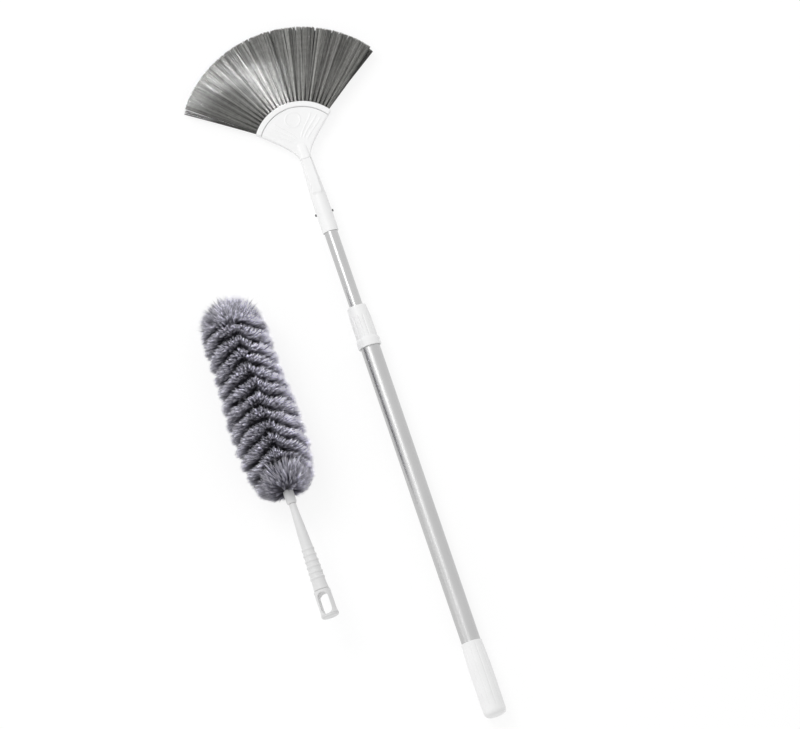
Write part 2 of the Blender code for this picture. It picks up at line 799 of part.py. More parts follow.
def make_cover(name, side, parent, mat):
    """Half of the plate: an open tray with a raised neck; side is -1 in front, 1 behind."""
    outline = cover_outline(PLATE_RADIUS, 0.0)
    bm = slab(outline, side * FIT / 2, side * COVER_HALF_DEPTH)
    cover = piece(name, bm, mat, parent)
    neck_top = FAN_CENTRE - FAN_CENTRE_RISE + HUMP_LENGTH
    neck_foot = SOCKET_TOP + FIT
    hump = [
        (side * FIT / 2, neck_foot),
        (side * (SOCKET_NECK_RADIUS + SPINE_PROUD), neck_foot),
        (side * COVER_HALF_DEPTH, neck_top),
        (side * FIT / 2, neck_top),
    ]
    bm = slab(hump, -SPINE_WIDTH / 2, SPINE_WIDTH / 2)
    bmesh.ops.rotate(bm, verts=bm.verts, matrix=Matrix.Rotation(math.pi / 2, 3, "Z"))
    boolean(cover, helper(name + "_neck", bm, parent), "UNION")
    near = side * (COVER_HALF_DEPTH - RIB_HEIGHT)
    far = side * (COVER_HALF_DEPTH + RIB_HEIGHT)
    boolean(cover, helper(name + "_ribs", rib_solids(near, far), parent), "UNION")
    hollow = cover_outline(PLATE_RADIUS - COVER_WALL, COVER_WALL)
    bm = slab(hollow, -side * OVERRUN, side * (COVER_HALF_DEPTH - COVER_SKIN))
    boolean(cover, helper(name + "_hollow", bm, parent))
    pocket = arc_bar(
        PLATE_RADIUS - COVER_WALL - OVERRUN, PLATE_RADIUS + OVERRUN,
        -side * OVERRUN, side * (BLOCK_TONGUE_HALF_DEPTH + FIT),
        even_angles(BLOCK_TONGUE_SPREAD + FIT / PLATE_RADIUS, CUT_ARC_STEPS),
    )
    boolean(cover, helper(name + "_pocket", pocket, parent))
    return cover


def row_spread():
    """Half the angle that a row of tufts and its channel take up."""
    return FAN_SPREAD + TUFT_WIDTH / BAND_RADIUS / 2


def block_solid():
    """The band's solid: its outline through the full depth, with a thin tongue along its inside."""
    seat = PLATE_RADIUS + FIT
    share = plate_edge_share(seat)
    edge = edge_points(0.0, share, BAND_EDGE_STEPS)
    corner = plate_edge(share)
    end_angle = math.atan2(corner.x, corner.y)
    tongue_angles = even_angles(BLOCK_TONGUE_SPREAD, ARC_STEPS)
    end_step = (end_angle - BLOCK_TONGUE_SPREAD) / BAND_END_STEPS
    end_angles = [BLOCK_TONGUE_SPREAD + end_step * (step + 1) for step in range(BAND_END_STEPS)]
    outer_arc = arc_points(BAND_RADIUS, -PLATE_SPREAD, PLATE_SPREAD, ARC_STEPS)
    depths = (
        -BAND_HALF_DEPTH, -BLOCK_TONGUE_HALF_DEPTH, BLOCK_TONGUE_HALF_DEPTH, BAND_HALF_DEPTH
    )
    bm = bmesh.new()

    def on_circle(radius, angle, depth):
        x = radius * math.sin(angle)
        return bm.verts.new((x, depth, FAN_CENTRE + radius * math.cos(angle)))

    wall = [
        [on_circle(seat, angle, depth) for depth in depths]
        for angle in (*[-angle for angle in reversed(end_angles)], *tongue_angles, *end_angles)
    ]
    tongue = [
        [on_circle(PLATE_RADIUS - BLOCK_TONGUE_REACH, angle, depth) for depth in depths[1:3]]
        for angle in tongue_angles
    ]
    rim = [
        [bm.verts.new((x, depth, z)) for depth in (depths[0], depths[-1])]
        for x, z in mirrored(edge)[1:-1] + outer_arc + edge[1:-1]
    ]
    for side in (0, -1):
        bm.faces.new([pair[side] for pair in rim] + [line[side] for line in reversed(wall)])
        bm.faces.new(rim[side] + wall[side][::-1])
    for before, after in zip(rim, rim[1:]):
        bm.faces.new((*before, *after[::-1]))
    roots = wall[BAND_END_STEPS:-BAND_END_STEPS]
    for before, after in zip(wall, wall[1:]):
        strips = (0, 2) if before in roots and after in roots else (0, 1, 2)
        for low in strips:
            bm.faces.new((before[low], before[low + 1], after[low + 1], after[low]))
    sections = [[root[1], *tip, root[2]] for root, tip in zip(roots, tongue)]
    for before, after in zip(sections, sections[1:]):
        for low in range(len(before) - 1):
            bm.faces.new((before[low], before[low + 1], after[low + 1], after[low]))
    bm.faces.new(sections[0])
    bm.faces.new(sections[-1])
    return bm


def make_tuft_block(parent, mat):
    block = piece("tuft_block", block_solid(), mat, parent)
    floor = BAND_RADIUS - BACKING_SUNK - BACKING_THICKNESS - FIT
    for name, side in (("front_channel", -1), ("back_channel", 1)):
        middle = side * ROW_OFFSET
        half = ROW_DEPTH / 2 + FIT
        channel = arc_bar(
            floor, BAND_RADIUS + OVERRUN, middle - half, middle + half,
            even_angles(row_spread() + FIT / BAND_RADIUS, CUT_ARC_STEPS),
        )
        boolean(block, helper(name, channel, parent))
    return block


def tuft_angles(count, spread):
    """Where each column of a row's backing starts and stops: gaps and tufts in turn."""
    half = TUFT_WIDTH / BAND_RADIUS / 2
    pitch = 2 * spread / (count - 1)
    angles, growing = [-spread - half], []
    for tuft in range(count):
        middle = -spread + pitch * tuft
        for column in range(TUFT_COLUMNS):
            angles.append(middle - half + 2 * half * (column + 1) / TUFT_COLUMNS)
            growing.append(middle)
        if tuft < count - 1:
            angles.append(middle + pitch - half)
            growing.append(None)
    return angles, growing


def make_bristle_row(name, side, count, spread, parent, mat):
    """Strands of three sides, grown out of triangles on a slice of their backing.

    Strands in a tuft spread apart towards their tips without crossing, so that the tufts
    close up on the fan's outer arc.
    """
    dice = random.Random(BRISTLE_SEED + side)
    angles, growing = tuft_angles(count, spread)
    high = BAND_RADIUS - BACKING_SUNK
    low = high - BACKING_THICKNESS
    depths = [side * ROW_OFFSET - ROW_DEPTH / 2 + ROW_DEPTH * row / TUFT_ROWS
              for row in range(TUFT_ROWS + 1)]
    bm = bmesh.new()
    outer, inner = [], []
    for angle in angles:
        across, up = math.sin(angle), math.cos(angle)
        outer.append([bm.verts.new((high * across, y, FAN_CENTRE + high * up)) for y in depths])
        inner.append([bm.verts.new((low * across, y, FAN_CENTRE + low * up)) for y in depths])
    tuft_of = {}
    for column, middle in enumerate(growing):
        follow = column + 1
        for row in range(TUFT_ROWS):
            corners = (
                outer[column][row], outer[follow][row],
                outer[follow][row + 1], outer[column][row + 1],
            )
            if middle is None:
                bm.faces.new(corners)
            else:
                tuft_of[bm.faces.new((corners[0], corners[1], corners[2]))] = middle
                tuft_of[bm.faces.new((corners[0], corners[2], corners[3]))] = middle
            bm.faces.new((
                inner[column][row], inner[column][row + 1],
                inner[follow][row + 1], inner[follow][row],
            ))
        for row in (0, TUFT_ROWS):
            bm.faces.new((
                inner[column][row], inner[follow][row], outer[follow][row], outer[column][row]
            ))
    for end in (0, -1):
        for row in range(TUFT_ROWS):
            bm.faces.new((
                inner[end][row], outer[end][row], outer[end][row + 1], inner[end][row + 1]
            ))
    bmesh.ops.recalc_face_normals(bm, faces=bm.faces)
    roots = list(tuft_of)
    bmesh.ops.inset_individual(bm, faces=roots, thickness=STRAND_INSET, use_even_offset=True)
    middles = [tuft_of[face] for face in roots]
    tips = bmesh.ops.extrude_discrete_faces(bm, faces=roots)["faces"]
    widening = 2 * spread / (count - 1) / (TUFT_WIDTH / BAND_RADIUS)
    for face, middle in zip(tips, middles):
        centre = face.calc_center_median()
        angle = math.atan2(centre.x, centre.z - FAN_CENTRE)
        tip_angle = middle + (angle - middle) * widening * STRAND_TIP_SHARE
        depth = side * ROW_TIP_OFFSET + (centre.y - side * ROW_OFFSET) * STRAND_DEPTH_SPREAD
        reach = FAN_RADIUS - STRAND_TRIM * dice.random()
        target = Vector((
            reach * math.sin(tip_angle), depth, FAN_CENTRE + reach * math.cos(tip_angle)
        ))
        bmesh.ops.translate(bm, verts=face.verts, vec=target - centre)
    return piece(name, bm, mat, parent, smooth=False)


# Hand duster

def make_hang_cap(parent, mat):
    neck = HANDLE_FOOT - FIT
    inset, rise = (CAP_END_ROUND * share for share in CAP_ROUND_SHARES)
    profile = [
        (0.0, 0.0),
        (CAP_END_RADIUS - CAP_END_ROUND, 0.0),
        (CAP_END_RADIUS - inset, rise),
        (CAP_END_RADIUS, CAP_END_ROUND),
        (CAP_RADIUS, CAP_FLARE_LENGTH),
        (CAP_RADIUS, neck - rise),
        (CAP_RADIUS - rise, neck),
        (CAP_PLUG_RADIUS, neck),
        (CAP_PLUG_RADIUS, neck + CAP_PLUG_LENGTH),
        (0.0, neck + CAP_PLUG_LENGTH),
    ]
    cap = piece("hang_cap", turned(profile, RING_STEPS, 0.5), mat, parent)
    half = CAP_SLOT_WIDTH / 2
    outline = []
    slot_top = CAP_SLOT_FOOT + CAP_SLOT_LENGTH
    for centre, start in ((slot_top - half, 0.0), (CAP_SLOT_FOOT + half, math.pi)):
        for step in range(CAP_SLOT_STEPS + 1):
            angle = start + math.pi * step / CAP_SLOT_STEPS
            outline.append((half * math.cos(angle), centre + half * math.sin(angle)))
    reach = CAP_END_RADIUS + OVERRUN
    slot = slab(outline, -reach, reach)
    bmesh.ops.rotate(slot, verts=slot.verts, matrix=Matrix.Rotation(CAP_SLOT_ROLL, 3, "Z"))
    boolean(cap, helper("hang_slot", slot, parent))
    return cap


def handle_radius(height):
    """The handle's outside without its ridges, from the foot up to the neck."""
    table = ((0.0, 1.0), *HANDLE_SHAPE_SHARES, (1.0, HANDLE_NECK_RADIUS / HANDLE_FOOT_RADIUS))
    return HANDLE_FOOT_RADIUS * between(table, (height - HANDLE_FOOT) / HANDLE_LENGTH)


def make_handle(parent, mat):
    bore = CAP_PLUG_RADIUS + FIT
    bore_top = HANDLE_FOOT + CAP_PLUG_LENGTH + FIT
    profile = [
        (0.0, bore_top),
        (bore, bore_top),
        (bore, HANDLE_FOOT),
        (HANDLE_FOOT_RADIUS - RIDGE_HEIGHT, HANDLE_FOOT),
        (HANDLE_FOOT_RADIUS, HANDLE_FOOT + RIDGE_HEIGHT),
    ]
    for ridge in range(RIDGE_COUNT):
        foot = HANDLE_FOOT + RIDGE_FOOT + RIDGE_PITCH * ridge
        for share, rise in RIDGE_SHAPE_SHARES:
            station = foot + RIDGE_PITCH * share
            profile.append((handle_radius(station) + RIDGE_HEIGHT * rise, station))
    ridged_share = (RIDGE_FOOT + RIDGE_PITCH * RIDGE_COUNT) / HANDLE_LENGTH
    for share, _ in HANDLE_SHAPE_SHARES:
        if share > ridged_share:
            station = HANDLE_FOOT + HANDLE_LENGTH * share
            profile.append((handle_radius(station), station))
    profile += [
        (HANDLE_NECK_RADIUS, FERRULE_FOOT - FIT),
        (HANDLE_PIN_RADIUS, FERRULE_FOOT - FIT),
        (HANDLE_PIN_RADIUS, HANDLE_TOP + HANDLE_PIN_LENGTH),
        (WIRE_RADIUS + FIT, HANDLE_TOP + HANDLE_PIN_LENGTH),
        (WIRE_RADIUS + FIT, HANDLE_TOP - WIRE_SUNK),
        (0.0, HANDLE_TOP - WIRE_SUNK),
    ]
    return piece("handle", turned(profile, HANDLE_STEPS), mat, parent)


def make_neck_ferrule(parent, mat):
    pin_bore = HANDLE_PIN_RADIUS + FIT
    profile = [
        (FERRULE_FOOT_RADIUS, FERRULE_FOOT),
        (FERRULE_MOUTH_RADIUS, FERRULE_FOOT + FERRULE_FLARE),
        (FERRULE_MOUTH_RADIUS, FERRULE_TOP),
        (pin_bore, FERRULE_TOP),
        (pin_bore, FERRULE_FOOT),
    ]
    return piece("neck_ferrule", turned(profile, RING_STEPS), mat, parent)


def wire_span():
    foot = HANDLE_TOP - WIRE_SUNK + FIT
    return foot, HEAD_TOP - HEAD_ROOF - TIP_CAP_FLOOR - FIT


def make_core_wire(parent, mat):
    """Two wires twisted together, drawn as one flat bar that turns as it climbs."""
    foot, top = wire_span()
    steps = round((top - foot) / WIRE_PITCH * WIRE_STEPS_PER_TURN)
    bm = bmesh.new()
    rings = []
    for step in range(steps + 1):
        height = foot + (top - foot) * step / steps
        turn = math.tau * (height - foot) / WIRE_PITCH
        ring = []
        for corner, share in enumerate(WIRE_CORNER_SHARES):
            angle = turn + math.tau * corner / len(WIRE_CORNER_SHARES)
            radius = WIRE_RADIUS * share
            ring.append(bm.verts.new((radius * math.cos(angle), radius * math.sin(angle), height)))
        rings.append(ring)
    for lower, upper in zip(rings, rings[1:]):
        for index in range(len(lower)):
            follow = (index + 1) % len(lower)
            bm.faces.new((lower[index], lower[follow], upper[follow], upper[index]))
    bm.faces.new(rings[0])
    bm.faces.new(rings[-1])
    return piece("core_wire", bm, mat, parent)


def make_core_tip_cap(parent, mat):
    top = HEAD_TOP - HEAD_ROOF
    profile = [
        (0.0, top - TIP_CAP_FLOOR),
        (WIRE_RADIUS + FIT, top - TIP_CAP_FLOOR),
        (WIRE_RADIUS + FIT, top - TIP_CAP_LENGTH),
        (TIP_CAP_RADIUS, top - TIP_CAP_LENGTH),
        (TIP_CAP_RADIUS, top - TIP_CAP_FLOOR),
        (TIP_CAP_RADIUS - TIP_CAP_FLOOR / 2, top),
        (0.0, top),
    ]
    return piece("core_tip_cap", turned(profile, PIN_STEPS), mat, parent)


def head_radius(angle, height):
    """The fluffy head's outside: a blunt club with two spiral rows of fibre wound round it."""
    share = (height - HEAD_FOOT) / HEAD_LENGTH
    club = HEAD_RADIUS * between(HEAD_SHAPE_SHARES, share)
    phase = math.tau * (height - HEAD_FOOT) / HEAD_LOBE_PITCH + HEAD_STARTS * angle
    lobe = abs(math.sin(phase / 2))
    return club - HEAD_LOBE_DEPTH * (1 - lobe) * club / HEAD_RADIUS


def make_fibre_head(parent, mat):
    mouth = FERRULE_MOUTH_RADIUS + FIT
    bore = WIRE_RADIUS + FIT * 2
    cap_bore = TIP_CAP_RADIUS + FIT * 2
    roof = HEAD_TOP - HEAD_ROOF
    profile = [
        (0.0, roof + FIT),
        (cap_bore, roof + FIT),
        (cap_bore, roof - TIP_CAP_LENGTH - FIT),
        (bore, roof - TIP_CAP_LENGTH - FIT),
        (bore, FERRULE_TOP + FIT),
        (mouth, FERRULE_TOP + FIT),
        (mouth, HEAD_FOOT),
    ]
    last_share = HEAD_SHAPE_SHARES[-1][0]
    for row in range(HEAD_ROWS + 1):
        share = last_share * row / HEAD_ROWS
        radius = HEAD_RADIUS * between(HEAD_SHAPE_SHARES, share)
        profile.append((radius, HEAD_FOOT + HEAD_LENGTH * share))
    profile.append((0.0, HEAD_TOP))

    def lobed(angle, radius, height):
        return radius if radius <= mouth + MERGE else head_radius(angle, height)

    head = piece("fibre_head", turned(profile, HEAD_STEPS, shape=lobed), mat, parent)
    ground = HEAD_RADIUS - HEAD_FLAT
    reach = HEAD_RADIUS + OVERRUN
    cut = box((-reach, ground, HEAD_FOOT - OVERRUN), (reach, reach, HEAD_TOP + OVERRUN))
    boolean(head, helper("head_ground", cut, parent))
    return head


def main():
    clear_scene()
    mats = {name: material(name) for name in MATERIALS}
    white = mats["white_plastic"]
    nylon = mats["natural_nylon"]
    steel = mats["spring_steel"]
    dark = mats["dark_plastic"]
    bristle = mats["grey_bristle"]
    pale = mats["pale_plastic"]
    ferrule = mats["ferrule_plastic"]

    lying = -math.pi / 2
    middle_x = (FAN_HALF_WIDTH - AXIS_SPACING - HEAD_RADIUS) / 2
    foot_y = -POLE_LENGTH / 2
    pole = empty("pole_axis", (-middle_x, foot_y, COLLAR_RADIUS), (lying, 0, 0))
    hand_x = -middle_x - AXIS_SPACING
    hand_y = foot_y + HAND_NECK_STATION - FERRULE_TOP
    ground = HEAD_RADIUS - HEAD_FLAT
    hand = empty("hand_duster_axis", (hand_x, hand_y, ground), (lying, 0, 0))

    make_grip(pole, white)
    make_outer_tube(pole, mats["satin_tube"])
    make_collet(pole, nylon)
    make_squeeze_ring(pole, nylon)
    make_lock_collar(pole, white)
    make_guide_ring(pole, nylon)
    make_guide_plug(pole, nylon)
    make_inner_tube(pole, mats["bright_tube"])
    make_button_spring(pole, steel)
    make_snap_button("snap_button_right", 1, pole, dark)
    make_snap_button("snap_button_left", -1, pole, dark)
    make_head_socket(pole, white)
    make_cover("fan_front_cover", -1, pole, white)
    make_cover("fan_back_cover", 1, pole, white)
    make_tuft_block(pole, white)
    make_bristle_row("bristles_front_row", -1, FRONT_TUFTS, FAN_SPREAD, pole, bristle)
    make_bristle_row("bristles_back_row", 1, BACK_TUFTS, FAN_SPREAD, pole, bristle)

    make_hang_cap(hand, pale)
    make_handle(hand, pale)
    make_neck_ferrule(hand, ferrule)
    make_core_wire(hand, steel)
    make_core_tip_cap(hand, ferrule)
    make_fibre_head(hand, mats["grey_fibre"])


main()
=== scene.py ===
# A fan duster on a telescopic pole and a fluffy hand duster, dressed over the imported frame.
# Metres throughout. Each duster is worked out standing on its butt end with its front towards
# -Y, and then laid on its back where the CAD has it.

import math

import bpy
import numpy as np
from mathutils import Matrix, Vector


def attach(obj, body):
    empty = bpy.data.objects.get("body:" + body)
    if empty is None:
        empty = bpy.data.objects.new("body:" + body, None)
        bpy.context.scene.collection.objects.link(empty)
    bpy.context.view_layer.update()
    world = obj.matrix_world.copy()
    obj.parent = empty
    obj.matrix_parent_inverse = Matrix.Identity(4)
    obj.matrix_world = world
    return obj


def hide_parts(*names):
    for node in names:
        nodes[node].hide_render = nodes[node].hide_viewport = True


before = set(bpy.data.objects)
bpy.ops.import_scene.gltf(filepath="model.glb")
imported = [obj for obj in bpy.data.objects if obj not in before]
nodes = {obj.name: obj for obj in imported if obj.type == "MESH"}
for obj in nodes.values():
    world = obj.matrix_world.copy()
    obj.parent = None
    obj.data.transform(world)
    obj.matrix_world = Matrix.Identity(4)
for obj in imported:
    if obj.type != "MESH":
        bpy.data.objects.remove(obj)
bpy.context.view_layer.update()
print("frame loaded with", len(nodes), "nodes")

dice = np.random.default_rng(23)
roundSteps = 96  # points round a tube, a cap or a handle


# where things stand: each duster's seat, and heights above its butt end

poleSeat = {"x": 0.048467, "y": -0.5155, "z": 0.0166}

handSeat = {"x": -0.128533, "y": -0.3165, "z": 0.0545}

poleStation = {
    "tubeFoot": 0.0063,
    "collarFoot": 0.556,
    "tubeMouth": 0.5645,
    "collarTop": 0.617,
    "innerFoot": 0.2345,
    "socketFoot": 0.7305,
    "buttons": 0.7595,
    "innerTop": 0.7845,
    "socketTop": 0.8405,
    "fanCentre": 0.8565,
}

handStation = {
    "handleFoot": 0.040,
    "ferruleFoot": 0.1705,
    "handleTop": 0.172,
    "headFoot": 0.1825,
    "ferruleTop": 0.1905,
}


# x stays, height becomes y, and depth becomes height with its sign turned
def lay(points, seat):
    x, y, z = np.moveaxis(points, -1, 0)
    return np.stack([seat["x"] + x, seat["y"] + z, seat["z"] - y], axis=-1)


# meshes from arrays

# quads between neighbours of a grid of points, counter-clockwise from outside
def gridFaces(rows, cols, wrapRows=False, wrapCols=True):
    index = np.arange(rows * cols).reshape(rows, cols)
    low = index if wrapRows else index[:-1]
    high = np.roll(index, -1, 0) if wrapRows else index[1:]
    if wrapCols:
        quads = np.stack([low, np.roll(low, -1, 1), np.roll(high, -1, 1), high], -1)
    else:
        quads = np.stack([low[:, :-1], low[:, 1:], high[:, 1:], high[:, :-1]], -1)
    return quads.reshape(-1, 4)


def meshFrom(name, points, faceSets):
    mesh = bpy.data.meshes.new(name)
    corners = np.concatenate([faces.ravel() for faces in faceSets]).astype(np.int32)
    counts = np.concatenate([np.full(len(faces), faces.shape[1]) for faces in faceSets])
    starts = np.concatenate([[0], np.cumsum(counts)[:-1]]).astype(np.int32)
    mesh.vertices.add(len(points))
    mesh.vertices.foreach_set("co", points.astype(np.float32).ravel())
    mesh.loops.add(len(corners))
    mesh.loops.foreach_set("vertex_index", corners)
    mesh.polygons.add(len(starts))
    mesh.polygons.foreach_set("loop_start", starts)
    mesh.update(calc_edges=True)
    return mesh


def addPiece(name, mesh, look, body, node, sharp=None):
    mesh.shade_smooth()
    if sharp:
        mesh.set_sharp_from_angle(angle=math.radians(sharp))
    piece = bpy.data.objects.new(name, mesh)
    bpy.context.collection.objects.link(piece)
    mesh.materials.append(look)
    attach(piece, body)
    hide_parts(node)


def unit(vectors):
    return vectors / np.linalg.norm(vectors, axis=-1, keepdims=True)


def smoothStep(value):
    value = np.clip(value, 0, 1)
    return value * value * (3 - 2 * value)


# the larger or the smaller of two, rounded over where they meet
def softMax(a, b, blend):
    return (a + b + np.sqrt((a - b) ** 2 + blend**2)) / 2


def softMin(a, b, blend):
    return (a + b - np.sqrt((a - b) ** 2 + blend**2)) / 2


# a value read off a table of two columns, straight between its rows
def readOff(table, value):
    table = np.array(table)
    return np.interp(value, table[:, 0], table[:, 1])


# each inner corner of a profile becomes a parabola from one cut before it to one cut after it,
# and a point a little further out on either side holds the straight run there
def softened(corners, cuts, steps=6, loop=False, hold=1.15):
    corners = np.array(corners, float)
    cuts = np.array(cuts, float)[:, None, None]
    before = unit(np.roll(corners, 1, 0) - corners)[:, None]
    after = unit(np.roll(corners, -1, 0) - corners)[:, None]
    middle = corners[:, None]
    t = np.linspace(0, 1, steps + 1)[:, None]
    bend = middle + (1 - t) ** 2 * before * cuts + t**2 * after * cuts
    lead = middle + before * cuts * hold
    trail = middle + after * cuts * hold
    points = np.concatenate([lead, bend, trail], axis=1)
    if loop:
        return points.reshape(-1, 2)
    return np.vstack([corners[:1], points[1:-1].reshape(-1, 2), corners[-1:]])


# extra points along a profile so that no stretch is longer than a span, and none very short
def refined(profile, span, least=2e-5):
    length = np.concatenate([[0], np.cumsum(np.linalg.norm(np.diff(profile, axis=0), axis=1))])
    stops = np.union1d(length, np.arange(0, length[-1], span))
    keep = np.concatenate([[True], np.diff(stops) > least])
    stops = stops[keep]
    return np.stack([np.interp(stops, length, profile[:, axis]) for axis in (0, 1)], -1)


# a profile spun round the axis: radius r at height h becomes the ring (r cos a, r sin a, h);
# shape gives r from the angle, the plain radius and the height
def turned(profile, steps, shape=None):
    pointed = profile[0, 0] == 0
    rings = profile[1:-1] if pointed else profile
    angle = np.arange(steps) * math.tau / steps
    radius, height = rings[:, :1], rings[:, 1:]
    reach = shape(angle, radius, height) if shape else radius * np.ones(steps)
    points = np.stack([reach * np.cos(angle), reach * np.sin(angle), height + 0 * reach], -1)
    points = points.reshape(-1, 3)
    quads = gridFaces(len(rings), steps, wrapRows=not pointed)
    if not pointed:
        return points, [quads]
    first = np.arange(steps)
    last = first + (len(rings) - 1) * steps
    foot, top = len(points), len(points) + 1
    ends = [[0, 0, profile[0, 1]], [0, 0, profile[-1, 1]]]
    tris = np.vstack([
        np.stack([np.full(steps, foot), np.roll(first, -1), first], -1),
        np.stack([last, np.roll(last, -1), np.full(steps, top)], -1),
    ])
    return np.vstack([points, ends]), [quads, tris]


def turnedMesh(name, profile, seat, steps=roundSteps, shape=None):
    points, faces = turned(profile, steps, shape)
    return meshFrom(name, lay(points, seat), faces)


# a cutter taken out of a mesh, both where they lie
def cutFrom(mesh, cutter, bevel=0.0):
    work = bpy.data.objects.new("work", mesh)
    knife = bpy.data.objects.new("knife", cutter)
    for obj in (work, knife):
        bpy.context.collection.objects.link(obj)
    cut = work.modifiers.new("cut", "BOOLEAN")
    cut.object = knife
    cut.solver = "EXACT"
    if bevel:
        soft = work.modifiers.new("soft", "BEVEL")
        soft.width = bevel
        soft.segments = 3
        soft.limit_method = "ANGLE"
        soft.angle_limit = math.radians(50)
    graph = bpy.context.evaluated_depsgraph_get()
    done = bpy.data.meshes.new_from_object(work.evaluated_get(graph))
    for obj in (work, knife):
        bpy.data.objects.remove(obj)
    return done


# shader effects shared by several materials

floatSocket, colourSocket, vectorSocket = "NodeSocketFloat", "NodeSocketColor", "NodeSocketVector"


def newGroup(name, inputs, outputs):
    tree = bpy.data.node_groups.new(name, "ShaderNodeTree")
    for label, kind, value in inputs:
        socket = tree.interface.new_socket(name=label, in_out="INPUT", socket_type=kind)
        socket.default_value = value
    for label, kind in outputs:
        tree.interface.new_socket(name=label, in_out="OUTPUT", socket_type=kind)
    return tree, tree.nodes.new("NodeGroupInput"), tree.nodes.new("NodeGroupOutput")


# a node with its settings, and its inputs by name with _ for each space
def addNode(tree, kind, **values):
    node = tree.nodes.new(kind)
    for key, value in values.items():
        if hasattr(node, key):
            setattr(node, key, value)
        else:
            node.inputs[key.replace("_", " ")].default_value = value
    return node


# links, each given as a node and its output, then a node and its input
def connect(tree, *links):
    for source, output, target, entry in links:
        tree.links.new(source.outputs[output], target.inputs[entry])


# colour times one plus the amount times a soft cloud between -1 and 1
def makeMottle():
    tree, given, made = newGroup(
        "mottle",
        [("Color", colourSocket, (0.8, 0.8, 0.8, 1)), ("Amount", floatSocket, 0.05),
         ("Scale", floatSocket, 30.0)],
        [("Color", colourSocket)],
    )
    place = addNode(tree, "ShaderNodeTexCoord")
    cloud = addNode(tree, "ShaderNodeTexNoise", Detail=3.0)
    centred = addNode(
        tree, "ShaderNodeMapRange", From_Min=0.3, From_Max=0.7, To_Min=-1.0, To_Max=1.0
    )
    times = addNode(tree, "ShaderNodeMath", operation="MULTIPLY_ADD")
    times.inputs[2].default_value = 1.0
    scaled = addNode(tree, "ShaderNodeVectorMath", operation="SCALE")
    connect(
        tree,
        (place, "Object", cloud, "Vector"),
        (given, "Scale", cloud, "Scale"),
        (cloud, "Fac", centred, "Value"),
        (centred, "Result", times, 0),
        (given, "Amount", times, 1),
        (given, "Color", scaled, 0),
        (times, 0, scaled, "Scale"),
        (scaled, 0, made, "Color"),
    )
    return tree


# roughness plus the amount times a soft cloud, as fingers and cloths leave it
def makeHandling():
    tree, given, made = newGroup(
        "handling",
        [("Roughness", floatSocket, 0.4), ("Amount", floatSocket, 0.1),
         ("Scale", floatSocket, 60.0)],
        [("Roughness", floatSocket)],
    )
    place = addNode(tree, "ShaderNodeTexCoord")
    cloud = addNode(tree, "ShaderNodeTexNoise", Detail=4.0)
    centred = addNode(tree, "ShaderNodeMath", operation="SUBTRACT")
    centred.inputs[1].default_value = 0.5
    total = addNode(tree, "ShaderNodeMath", operation="MULTIPLY_ADD")
    connect(
        tree,
        (place, "Object", cloud, "Vector"),
        (given, "Scale", cloud, "Scale"),
        (cloud, "Fac", centred, 0),
        (centred, 0, total, 0),
        (given, "Amount", total, 1),
        (given, "Roughness", total, 2),
        (total, 0, made, "Roughness"),
    )
    return tree


# a fine moulded grain as a bump
def makeGrain():
    tree, given, made = newGroup(
        "grain",
        [("Scale", floatSocket, 900.0), ("Strength", floatSocket, 0.1)],
        [("Normal", vectorSocket)],
    )
    place = addNode(tree, "ShaderNodeTexCoord")
    cloud = addNode(tree, "ShaderNodeTexNoise", Detail=2.0)
    bump = addNode(tree, "ShaderNodeBump", Distance=0.0002)
    connect(
        tree,
        (place, "Object", cloud, "Vector"),
        (given, "Scale", cloud, "Scale"),
        (cloud, "Fac", bump, "Height"),
        (given, "Strength", bump, "Strength"),
        (bump, "Normal", made, "Normal"),
    )
    return tree


# fine lines along the drawn metal: a noise stretched along Y, as a value and as a bump
def makeDrawnLines():
    tree, given, made = newGroup(
        "drawnLines",
        [("Scale", floatSocket, 1500.0), ("Strength", floatSocket, 0.1)],
        [("Value", floatSocket), ("Normal", vectorSocket)],
    )
    place = addNode(tree, "ShaderNodeTexCoord")
    stretch = addNode(tree, "ShaderNodeMapping", Scale=(1.0, 0.006, 1.0))
    lines = addNode(tree, "ShaderNodeTexNoise", Detail=3.0)
    bump = addNode(tree, "ShaderNodeBump", Distance=0.0001)
    connect(
        tree,
        (place, "Object", stretch, "Vector"),
        (stretch, "Vector", lines, "Vector"),
        (given, "Scale", lines, "Scale"),
        (lines, "Fac", bump, "Height"),
        (given, "Strength", bump, "Strength"),
        (lines, "Fac", made, "Value"),
        (bump, "Normal", made, "Normal"),
    )
    return tree


mottle, handling, grain, drawnLines = makeMottle(), makeHandling(), makeGrain(), makeDrawnLines()


# materials

def newMaterial(name):
    look = bpy.data.materials.new(name)
    look.use_nodes = True
    return look, look.node_tree, look.node_tree.nodes["Principled BSDF"]


def useGroup(tree, group, **values):
    node = tree.nodes.new("ShaderNodeGroup")
    node.node_tree = group
    for key, value in values.items():
        node.inputs[key].default_value = value
    return node


# moulded plastic: clouded colour, handled gloss and a fine grain
def plastic(name, colour, roughness, cloud=0.02, grainStrength=0.12):
    look, tree, shader = newMaterial(name)
    tone = useGroup(tree, mottle, Color=(*colour, 1), Amount=cloud, Scale=24.0)
    gloss = useGroup(tree, handling, Roughness=roughness, Amount=0.16, Scale=70.0)
    skin = useGroup(tree, grain, Scale=1400.0, Strength=grainStrength)
    connect(
        tree,
        (tone, "Color", shader, "Base Color"),
        (gloss, "Roughness", shader, "Roughness"),
        (skin, "Normal", shader, "Normal"),
    )
    return look


